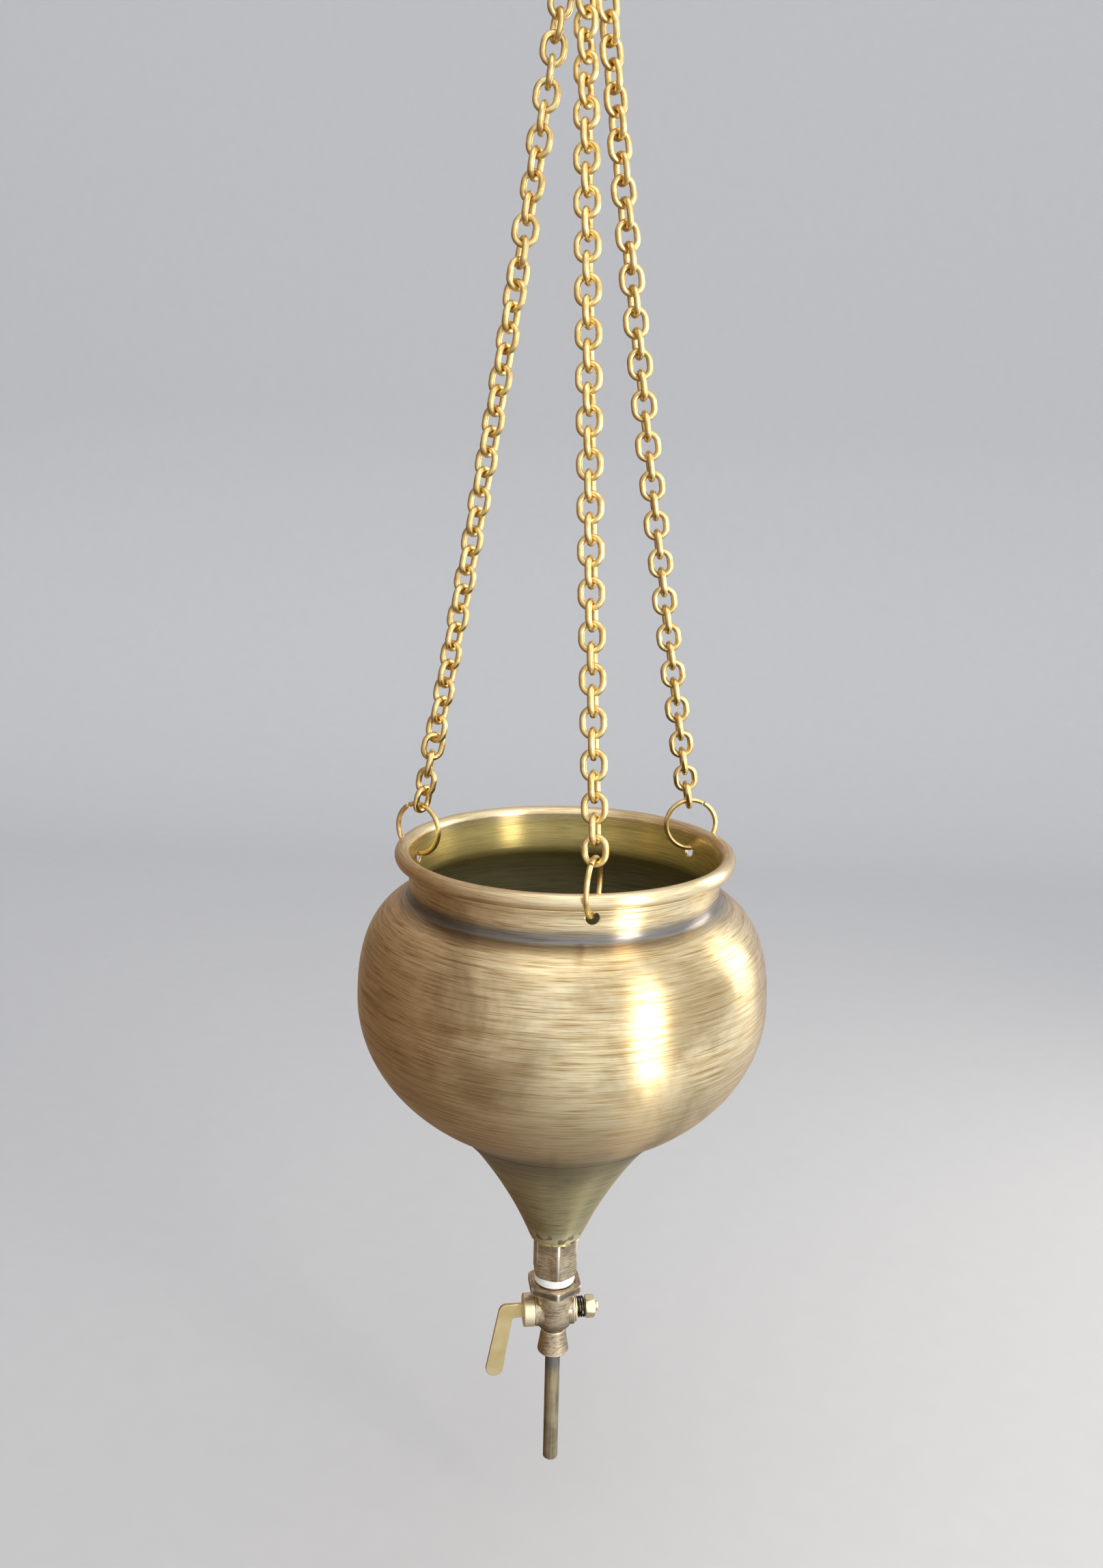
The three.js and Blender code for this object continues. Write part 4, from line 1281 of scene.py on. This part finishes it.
@dataclass(frozen=True)
class Hanger:
    """The S hook and the gathering ring in its lower bow."""

    finish: Finish = SatinBrass("satin_brass_hook", roughness=0.28)
    wire: float = 4.0
    bar: float = 24.0
    eye: float = 16.0
    span: float = 46.0
    mouth: float = 35.0
    shank: float = 20.0
    gather_wire: float = 3.2

    def hook(self) -> Piece:
        """Two bows in the YZ plane joined by a shank, a Bezier curve that leaves each smoothly.

        Returns:
            The piece.
        """
        wide, narrow = (self.bar + self.wire) / 2, (self.eye + self.wire) / 2
        upper = arc((0, 0), (wide, wide), 180 + self.mouth, -self.shank, 120)
        lower = arc((0, -self.span), (narrow, narrow), 180 - self.shank, 360 + self.mouth, 120)
        start, end = upper[-1], lower[0]
        slope = math.radians(self.shank)
        way = np.array([-math.sin(slope), -math.cos(slope)]) * (np.linalg.norm(end - start) / 3)
        shank = bezier([tuple(start), tuple(start + way), tuple(end - way), tuple(end)], 60)
        path = np.insert(np.vstack([upper, shank[1:-1], lower]), 0, 0, axis=1)
        wire = swept(path, self.wire / 2, sides=24, steps=160, across=(1, 0, 0), tip=1.2)
        return build("hook_wire", [wire])

    def gather_ring(self) -> Piece:
        """The gathering ring: a torus in the XZ plane.

        Returns:
            The piece.
        """
        middle, mean = gather_circle(self.gather_wire)
        path = np.insert(arc((0, middle), (mean, mean), 0, 360, 240)[:-1], 1, 0, axis=1)
        wire = swept(path, self.gather_wire / 2, sides=24, steps=120, across=(0, 1, 0), ring=True)
        return build("gather_ring_wire", [wire])

    def make(self) -> list[Piece]:
        """Builds and dresses the hook and the gathering ring."""
        return [
            dress(self.hook(), self.finish, "hook", "hook"),
            dress(self.gather_ring(), self.finish, "gather_ring", "gather_ring"),
        ]


@dataclass(frozen=True)
class OilValve:
    """The hexagon socket, the taped thread, the plug valve and the drip tube.

    Heights are from the middle of the bead; distances along the plug are from its middle.
    """

    rim: float
    machined: Finish = AgedBrass("aged_machined_brass")
    polished: Finish = SatinBrass("polished_brass", light="e0b862", deep="946c2e", roughness=0.15)
    satin: Finish = SatinBrass(
        "satin_cut_brass", light="dac48e", deep="c8ae72", roughness=0.32, cloud_mm=12)
    tube: Finish = DrawnTube("drawn_brass_tube")
    tape_film: Finish = ThreadTape("ptfe_thread_tape")
    steel: Finish = SpringSteel("blackened_spring_steel")
    socket_flats: float = 21.5
    socket_top: float = -207.5
    socket_end: float = -228.6
    shaded: float = 9.0  # how far down from its top the socket is painted with the shadow under the funnel
    grime_and_shade: float = 0.55  # and how dark that painted shadow is at its top, from 0 to 1
    spigot: float = 9.0
    spigot_top: float = -203.0
    spigot_bore: float = 4.2
    thread: float = 8.35
    thread_top: float = -217.6
    tape: float = 10.6
    tape_top: float = -228.9
    tape_end: float = -233.7
    flange_flats: float = 26.4
    flange_top: float = -234.0
    flange_end: float = -238.0
    barrel: float = 10.3
    barrel_end: float = -254.0
    waist: float = 6.3
    waist_top: float = -261.0
    flare_top: float = -262.4
    flare: float = 8.3
    bevel_top: float = -275.0
    outlet: float = 7.9
    outlet_end: float = -275.6
    oil_bore: float = 3.0
    boss: float = 8.4
    boss_half: float = 10.4
    plug_large: float = 6.9
    plug_small: float = 5.6
    plug_bore: float = 2.3
    head: float = 8.5
    head_outer: float = -16.5
    head_inner: float = -10.7
    stud: float = 2.6
    stud_end: float = 23.8
    thread_pitch: float = 0.8
    thread_depth: float = 0.32
    washer: float = 7.3
    washer_from: float = 10.7
    washer_to: float = 11.6
    spring_from: float = 11.9
    spring_to: float = 16.4
    spring_mean: float = 5.0
    spring_wire: float = 0.9
    spring_curls: float = 2.75
    nut_flats: float = 10.4
    nut_from: float = 16.7
    nut_to: float = 21.5
    lever_half: float = 1.0
    lever_stem: float = 4.0
    lever_tang: float = -12.5
    lever_reach: float = -25.4
    lever_length: float = 34.0
    lever_slant: float = 10.0
    lever_root: float = 4.0
    lever_tip: float = 4.6
    lever_bend: float = 2.2
    pin: float = 0.9
    pin_place: float = -14.5
    tube_outside: float = 4.05
    tube_bore: float = 2.5
    tube_top: float = -263.6
    tube_end: float = -341.6
    bar_columns: int = 288
    columns: int = 96

    @property
    def turn(self) -> Array:
        """The valve's turn about the pot's axis, from the plug's own axis."""
        return around_z(Joint.named("plug_turn").heading)

    def upright(self, name: str, sheets: Sequence[Sheet]) -> Piece:
        """A piece about the pot's axis, its heights from the bead."""
        place = np.array([0, 0, self.rim])
        return build(name, [sheet.placed(self.turn, place) for sheet in sheets])

    def crosswise(self, sheet: Sheet, along: bool = True) -> Sheet:
        """A sheet of the plug: laid along X if it was made about Z, then put on the plug's axis."""
        lie = self.turn @ ALONG_X if along else self.turn
        return sheet.placed(lie, Joint.named("plug_turn").place)

    def socket(self) -> Piece:
        """The hexagon socket: bar with bevelled ends, a spigot above and a bore right through.

        Returns:
            The piece.
        """
        past, bevel = 0.5, 0.9
        face, corner = self.socket_flats / 2 + past, bar_radius(self.socket_flats) + past
        bore, bore_top = self.thread + GAP, self.thread_top + GAP
        top, end = self.socket_top, self.socket_end
        outline = rounded([
            (bore, end, 0.2), (face, end, 0.15), (corner, end + bevel, 0.0),
            (corner, top - self.shaded, 0.0), (corner, top - bevel, 0.0), (face, top, 0.15),
            (self.spigot, top, 0.0), (self.spigot, self.spigot_top, 0.2),
            (self.spigot_bore, self.spigot_top, 0.2), (self.spigot_bore, bore_top, 0.0),
            (bore, bore_top, 0.0)])
        # Painted shadow: the socket darkens towards its top, under the funnel.
        grime_and_shade = np.interp(outline[:, 1], (top - self.shaded, top), (0.0, self.grime_and_shade))
        outline[:, 3] = np.maximum(outline[:, 3], grime_and_shade)
        bar = turned(outline, self.bar_columns, flats=self.socket_flats)
        return self.upright("hex_socket_bar", [bar])

    def tape_wrap(self) -> Piece:
        """The tape: a ring whose side rises and falls by a shallow helix, with uneven edges.

        At height h and angle a the radius grows by ridge·sin(2π·h/lap - a), and the height
        moves by a sum of three sines of a, the other way at either edge.

        Returns:
            The piece.
        """
        ridge, lap, foot = 0.12, 1.3, self.thread + 0.2
        tall = self.tape_top - self.tape_end
        heights = self.tape_end + 0.1 + (tall - 0.2) * np.linspace(0, 1, 22)
        side = np.full(len(heights), self.tape - 0.14)
        side[[0, -1]] -= 0.35
        side[[1, -2]] -= 0.1
        rows = np.vstack([
            [(foot, heights[0])], np.column_stack([side, heights]), [(foot, heights[-1])]])
        sheet = turned(plain(rows), 144)
        x, y, height = np.moveaxis(sheet.points, -1, 0)
        angle, radius = np.arctan2(y, x), np.hypot(x, y)
        wound = ridge * np.sin(math.tau * height / lap - angle) * (radius > self.thread + 1)
        share = (height - self.tape_end) / tall
        uneven = (0.09 * np.sin(3 * angle + 1) + 0.06 * np.sin(7 * angle + 2)
                  + 0.03 * np.sin(13 * angle))
        sheet.points[..., :2] *= ((radius + wound) / radius)[..., None]
        sheet.points[..., 2] += uneven * (share - 0.5)
        return self.upright("thread_tape_wrap", [sheet])

    def body(self) -> Piece:
        """The valve's body: thread, hexagon flange, barrel, waist and flared outlet, with a boss.

        Returns:
            The piece.
        """
        bevel = 0.5
        face, corner = self.flange_flats / 2 + 1.5, bar_radius(self.flange_flats) + bevel
        shrink = (self.barrel - self.waist, self.waist_top - self.barrel_end)
        rounding = arc((self.waist, self.barrel_end), shrink, 0, 90, 16)[::-1]
        tube, tube_top = self.tube_outside + GAP, self.tube_top + GAP
        lower = rounded([
            (self.oil_bore, tube_top, 0.0), (tube, tube_top, 0.0),
            (tube, self.outlet_end, 0.25), (self.outlet, self.outlet_end, 0.2),
            (self.flare, self.bevel_top, 0.25), (self.waist, self.flare_top, 0.5)])
        upper = rounded([
            (self.barrel, self.flange_end, 0.25), (face, self.flange_end, 0.3),
            (corner, self.flange_end + bevel, 0.2), (corner, self.flange_top - bevel, 0.2),
            (face, self.flange_top, 0.3), (self.thread, self.flange_top, 0.0),
            (self.thread, self.thread_top, 0.3), (self.oil_bore, self.thread_top, 0.0)])
        rim_flats = (upper[:, 0] > corner - 0.3) & (upper[:, 2] == 0)
        upper[rim_flats, 3] = 0.65  # the flange's six faces are painted darker, as painted shade on the bar's sides
        side = plain(rounding[:-1])
        side[:, 3] = np.linspace(0.8, 0.0, len(side))  # and the hollow of the waist is darkened too, most at its narrowest
        levels = np.linspace(self.barrel_end, self.flange_end - 0.6, 5)
        straight = plain(np.column_stack([np.full(len(levels), self.barrel), levels]))
        outline = np.vstack([lower, side, straight, upper])
        body = turned(outline, self.bar_columns, flats=self.flange_flats)
        piece = self.upright("valve_body_turned", [body])
        boss = rounded([(0.4, -self.boss_half, 0.0), (self.boss, -self.boss_half, 0.4),
                        (self.boss, self.boss_half, 0.4), (0.4, self.boss_half, 0.0)])
        cut(piece, [self.crosswise(turned(boss, self.columns, ring=False))], join=True)
        past = self.boss_half + 0.5
        seat = plain(np.array([(self.plug_large + GAP, -past), (self.plug_small + GAP, past)]))
        return cut(piece, [self.crosswise(turned(seat, self.columns, ring=False))])

    def plug(self) -> Piece:
        """The taper plug: its slotted head, its cone and its stud with a cut thread.

        On the stud the radius falls by depth·(½ - ½ cos(2π·x/pitch - a)), a helix.

        Returns:
            The piece.
        """
        nib, core = 1.0, 0.3
        cone = rounded([
            (0.4, self.head_outer, 0.0), (self.head, self.head_outer, 0.7),
            (self.head, self.head_inner, 0.5), (self.plug_large, self.head_inner, 0.0),
            (self.plug_small, self.boss_half, 0.2), (self.stud, self.boss_half, 0.0)])
        places = np.arange(self.boss_half + 0.2, self.stud_end - 0.9, self.thread_pitch / 9)
        shank = plain(np.column_stack([np.full(len(places), self.stud), places]))
        tip = plain(arc((self.stud - nib, self.stud_end - nib), (nib, nib), 0, 90, 6))
        outline = np.vstack([cone, shank, tip, plain(np.array([[core, self.stud_end]]))])
        sheet = turned(outline, self.columns, ring=False)
        turn = np.arange(self.columns) * math.tau / self.columns
        place = outline[:, 1:2]
        fade = (np.clip((place - self.boss_half - 0.4) / 0.6, 0, 1)
                * np.clip((self.stud_end - place) / 1.2, 0, 1))
        wave = 0.5 - 0.5 * np.cos(math.tau * place / self.thread_pitch - turn)
        depth = self.thread_depth * fade * wave / np.maximum(outline[:, :1], core)
        sheet.points[..., :2] *= (1 - np.minimum(depth, 0.5))[..., None]
        piece = build("plug_turned", [self.crosswise(sheet)])
        open_end, floor, half = self.head_outer - 1, -12.25, self.lever_stem + 0.25
        slot = np.array([(open_end, half), (floor, half), (floor, -half), (open_end, -half)])
        hole, past = self.pin + 0.06, self.head + 1
        drill = plain(np.array([(hole, -past), (hole, past)]))
        bore = plain(np.array([(self.plug_bore, -self.head), (self.plug_bore, self.head)]))
        return cut(piece, [
            self.crosswise(plate(slot, self.lever_half + 0.2, 0.05, 1), along=False),
            self.across(turned(drill, 32, ring=False)),
            self.crosswise(turned(bore, 32, ring=False), along=False)])

    def across(self, sheet: Sheet) -> Sheet:
        """A sheet made about Z, laid along Y through the head and put in place.

        Args:
            sheet: the sheet.

        Returns:
            The sheet in place.
        """
        lie = self.turn @ np.array(Matrix.Rotation(math.radians(-90), 3, "X"))
        shift = Joint.named("plug_turn").place + self.turn @ np.array([self.pin_place, 0, 0])
        return sheet.placed(lie, shift)

    def lever(self) -> Piece:
        """The lever: a flat L cut from plate, its blade leaning out by the slant.

        Returns:
            The piece.
        """
        slant = math.radians(self.lever_slant)
        down = np.array([-math.sin(slant), -math.cos(slant)])
        side = np.array([math.cos(slant), -math.sin(slant)])
        root = np.array([self.lever_reach, 0.0])
        stem, bend = self.lever_stem, self.lever_bend
        inner = root + down * (stem + bend) + side * self.lever_root
        outer = root - side * self.lever_root
        heel = bezier([(inner[0] + bend, -stem), (inner[0], -stem), tuple(inner)], 10)
        tip = arc(root + down * self.lever_length, (self.lever_tip, self.lever_tip),
                  -self.lever_slant, -self.lever_slant - 180, 28)
        shoulder = bezier([
            tuple(outer), (outer[0] + bend / 2, stem), (outer[0] + 2 * bend, stem)], 10)
        straight = np.linspace(0, 1, 12)[1:-1, None]
        outline = np.vstack([
            [(self.lever_tang, stem)], [(self.lever_tang, -stem)], heel,
            heel[-1] + (tip[0] - heel[-1]) * straight, tip,
            tip[-1] + (shoulder[0] - tip[-1]) * straight, shoulder])
        sheet = plate(outline, self.lever_half, 0.38)
        return build("lever_blade", [self.crosswise(sheet, along=False)], sharp=60)

    def lever_pin(self) -> Piece:
        """The pin through the head and the lever, its ends dressed flush and a little domed.

        Returns:
            The piece.
        """
        reach = math.sqrt(self.head ** 2 - self.pin ** 2)
        outline = rounded([(0.15, -reach - 0.03, 0.0), (self.pin, -reach, 0.12),
                           (self.pin, reach, 0.12), (0.15, reach + 0.03, 0.0)])
        return build("lever_pin_dressed", [self.across(turned(outline, 32, ring=False))])

    def on_stud(self, name: str, outside: float, start: float, end: float,
                flats: float = 0.0) -> Piece:
        """A washer or a nut on the stud.

        Args:
            name: the piece's name.
            outside: its outer radius; a nut's is past its corners.
            start: where it begins along the plug.
            end: where it ends.
            flats: size across the flats of a nut, or 0.

        Returns:
            The piece.
        """
        bore = self.stud + 0.25
        if flats:
            half = flats / 2
            corners = [
                (bore, start, 0.25), (half + 0.15, start, 0.1), (outside, start + 0.55, 0.0),
                (outside, end - 0.55, 0.0), (half + 0.15, end, 0.1), (bore, end, 0.25)]
        else:
            corners = [(bore, start, 0.1), (outside, start, 0.22),
                       (outside, end, 0.22), (bore, end, 0.1)]
        return build(name, [self.crosswise(turned(rounded(corners), 144, flats=flats))])

    def spring(self) -> Piece:
        """The spring: x = start + rise·s, and mean·(cos, sin) of the curls' angle for y and z.

        Returns:
            The piece.
        """
        share = np.linspace(0, 1, 500)
        angle = math.tau * self.spring_curls * share
        rise = self.spring_to - self.spring_from - self.spring_wire
        path = np.column_stack([self.spring_from + self.spring_wire / 2 + rise * share,
                                self.spring_mean * np.cos(angle), self.spring_mean * np.sin(angle)])
        wire = swept(path, self.spring_wire / 2, sides=14, steps=130, across=(1, 0, 0), tip=0.15)
        return build("spring_coils", [self.crosswise(wire, along=False)])

    def drip_tube(self) -> Piece:
        """The drip tube, a little out of round, with a faint burr at its cut lower end.

        The radius shrinks by 1.2 % times ½(1 + cos 2a), and near the cut end by up to 2 %
        times ½(1 + sin(3a + 1)).

        Returns:
            The piece.
        """
        outline = rounded([
            (self.tube_bore, self.tube_top, 0.2), (self.tube_bore, self.tube_end, 0.35),
            (self.tube_outside, self.tube_end, 0.35), (self.tube_outside, self.tube_top, 0.2)])
        columns = 72
        sheet = turned(outline, columns)
        turn = np.arange(columns) * math.tau / columns
        near_end = np.exp(-((outline[:, 1:2] - self.tube_end) / 1.4) ** 2)
        oval, burr = 0.012 * (1 + np.cos(2 * turn)) / 2, 0.02 * (1 + np.sin(3 * turn + 1)) / 2
        sheet.points[..., :2] *= (1 - oval - near_end * burr)[..., None]
        return self.upright("drip_tube_drawn", [sheet])

    def make(self) -> list[Piece]:
        """Builds and dresses every piece of the valve.

        Returns:
            The ten pieces.
        """
        nut_outside = bar_radius(self.nut_flats) + 0.3
        return [
            dress(self.socket(), self.machined, "pot", "hex_socket"),
            dress(self.tape_wrap(), self.tape_film, "pot", "ptfe_tape"),
            dress(self.body(), self.machined, "pot", "valve_body"),
            dress(self.drip_tube(), self.tube, "pot", "drip_tube"),
            dress(self.plug(), self.polished, "valve_plug", "plug"),
            dress(self.lever(), self.satin, "valve_plug", "lever"),
            dress(self.lever_pin(), self.polished, "valve_plug", "lever_pin"),
            dress(self.on_stud("washer_turned", self.washer, self.washer_from, self.washer_to),
                  self.polished, "valve_plug", "washer"),
            dress(self.spring(), self.steel, "valve_plug", "spring"),
            dress(self.on_stud(
                "nut_hexagon", nut_outside, self.nut_from, self.nut_to, self.nut_flats),
                  self.polished, "valve_plug", "nut"),
        ]


@dataclass(frozen=True)
class Softbox:
    """A rectangular studio light that faces the pot."""

    name: str
    bearing: float  # degrees to the right of the way from the pot to the camera
    distance: float
    rise: float  # metres above the belly
    width: float
    height: float
    power: float
    colour: str = "fff8ee"


@dataclass(frozen=True)
class Studio:
    """The pale floor and back wall, the softboxes and the camera."""

    board: Finish = PaintedBoard("painted_board")
    floor_drop: float = 0.05  # metres below the drip tube's end
    half_width: float = 3.0
    wall: float = 2.0  # how far behind the pot the wall stands
    wall_height: float = 3.6
    bend: float = 0.7  # radius between the floor and the wall
    focus: Point = (0.0, 0.0, -0.58)
    photo: tuple[int, int] = (1615, 2296)
    focal_px: float = 1950.0
    eye: Point = (0.0380, -0.6272, -0.31085)
    yaw: float = -4.15
    pitch: float = -12.807
    roll: float = 1.296
    boxes: tuple[Softbox, ...] = (
        Softbox("key", 49, 0.95, 0.12, 0.24, 0.95, 6),
        Softbox("edge", 116, 0.85, 0.25, 0.30, 0.60, 2.2),
        Softbox("top", 20, 0.25, 0.95, 0.80, 0.60, 1.0),
    )
    glow_bearing: float = 62.0
    glow_height: float = 18.0
    glow: tuple[float, float] = (0.34, 1.7)  # strength away from the bright side, and towards it
    glow_colours: tuple[str, str] = ("cdab8e", "e6ecf8")
    underside: float = 0.55  # share of the glow that comes from straight below

    def backdrop(self) -> Piece:
        """The floor, which bends up into a back wall: a quarter circle between two straights.

        Returns:
            The piece.
        """
        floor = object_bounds()[0][2] - self.floor_drop
        middle = (self.wall - self.bend, floor + self.bend)
        profile = np.vstack([
            [(-self.half_width, floor)], arc(middle, (self.bend, self.bend), -90, 0, 24),
            [(self.wall, floor + self.wall_height)]])
        edges = (-self.half_width, self.half_width)
        sides = np.stack([np.insert(profile, 0, edge, axis=1) for edge in edges], axis=1)
        faces = 2 * np.arange(len(profile) - 1)[:, None] + np.array([0, 1, 3, 2])
        mesh = bpy.data.meshes.new("backdrop")
        mesh.from_pydata(sides.reshape(-1, 3).tolist(), [], faces.tolist())
        mesh.shade_smooth()
        mesh.materials.append(self.board.material())
        board = bpy.data.objects.new("backdrop", mesh)
        bpy.context.scene.collection.objects.link(board)
        board.visible_glossy = False  # the brass mirrors the room, not the board
        board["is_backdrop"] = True
        return board

    def light(self, box: Softbox) -> None:
        """Puts one softbox at its bearing round the pot, turned to face the belly.

        Args:
            box: the softbox.
        """
        lamp = bpy.data.lights.new(box.name, "AREA")
        lamp.shape = "RECTANGLE"
        lamp.size, lamp.size_y = box.width, box.height
        lamp.energy = box.power
        lamp.color = linear(box.colour)[:3]
        bearing = math.radians(box.bearing)
        focus = Vector(self.focus)
        place = focus + Vector((
            math.sin(bearing) * box.distance, -math.cos(bearing) * box.distance, box.rise))
        facing = (focus - place).to_track_quat("-Z", "Y").to_matrix().to_4x4()
        holder = bpy.data.objects.new(box.name, lamp)
        holder.matrix_world = Matrix.Translation(place) @ facing
        holder.visible_camera = False
        bpy.context.scene.collection.objects.link(holder)

    def world(self) -> None:
        """The room: a soft glow that is brightest on one side and dims away from it and below.

        For a unit direction d the strength is a straight ramp of d · side from the lower to
        the higher glow, times a straight ramp of d's height.
        """
        world = bpy.data.worlds.new("soft_room")
        world.use_nodes = True
        tree = world.node_tree
        bearing, height = math.radians(self.glow_bearing), math.radians(self.glow_height)
        level_share = math.cos(height)
        side = (math.sin(bearing) * level_share, -math.cos(bearing) * level_share, math.sin(height))
        way = add_node(tree, Kind.PLACE, output="Generated")
        facing = add_node(tree, Kind.VECTOR, [way, side], "Value", operation="DOT_PRODUCT")
        level = add_node(tree, Kind.SPLIT, [way], 2)
        strength = add_node(tree, Kind.MATH, [
            add_node(tree, Kind.RANGE, [facing, -1.0, 1.0, *self.glow]),
            add_node(tree, Kind.RANGE, [level, -0.95, -0.3, self.underside, 1.0]),
        ], operation="MULTIPLY")
        low, high = self.glow_colours
        tint = coated(tree, low, [(add_node(tree, Kind.RANGE, [facing, -1.0, 0.4]), high)])
        sky = tree.nodes["Background"]
        tree.links.new(tint, sky.inputs["Color"])
        tree.links.new(strength, sky.inputs["Strength"])
        bpy.context.scene.world = world
        bpy.context.scene.view_settings.view_transform = "Standard"

    def camera(self) -> None:
        """The camera, from its focal length in pixels and its yaw, pitch and roll in degrees."""
        yaw, pitch, roll = (math.radians(angle) for angle in (self.yaw, self.pitch, self.roll))
        flat = math.cos(pitch)
        ahead = Vector((math.sin(yaw) * flat, math.cos(yaw) * flat, math.sin(pitch)))
        right = Vector((math.cos(yaw), -math.sin(yaw), 0))
        up = right.cross(ahead)
        level = right * math.cos(roll) + up * math.sin(roll)
        rise = up * math.cos(roll) - right * math.sin(roll)
        data = bpy.data.cameras.new("camera")
        data.sensor_width = 36
        data.lens = self.focal_px / max(self.photo) * data.sensor_width
        data.clip_start = 0.01
        holder = bpy.data.objects.new("camera", data)
        turn = Matrix((level, rise, -ahead)).transposed().to_4x4()
        holder.matrix_world = Matrix.Translation(self.eye) @ turn
        bpy.context.scene.collection.objects.link(holder)
        bpy.context.scene.camera = holder

    def make(self) -> None:
        """Sets up the whole studio."""
        self.backdrop()
        for box in self.boxes:
            self.light(box)
        self.world()
        self.camera()


def corners(bounds: Sequence[Sequence[float]]) -> list[list[float]]:
    """A box's two corners as plain lists."""
    return [[float(value) for value in corner] for corner in bounds]


def rim_height() -> float:
    """Height of the bead's middle: a jump ring's inside bears on the top of its hole.

    Returns:
        The height in the frame, in millimetres.
    """
    ring = Joint.named("jump_ring_front_turn").place[2]
    above = OilBowl.hole_depth - OilBowl.hole + GAP + Chains.ring_wire - Chains.ring_outside / 2
    return float(ring + above)


def main() -> None:
    """Builds each sub-assembly in order and reports its pieces."""
    logging.basicConfig(level=logging.INFO, format="%(name)s: %(message)s")
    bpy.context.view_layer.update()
    rim = rim_height()
    Studio().make()
    for assembly in (Hanger(), Chains(rim), OilBowl(rim), OilValve(rim)):
        for piece in assembly.make():
            faces = sum(len(face.vertices) - 2 for face in piece.data.polygons)
            log.info("%s: %s, %d triangles", type(assembly).__name__, piece.name, faces)


if __name__ == "__main__":
    main()
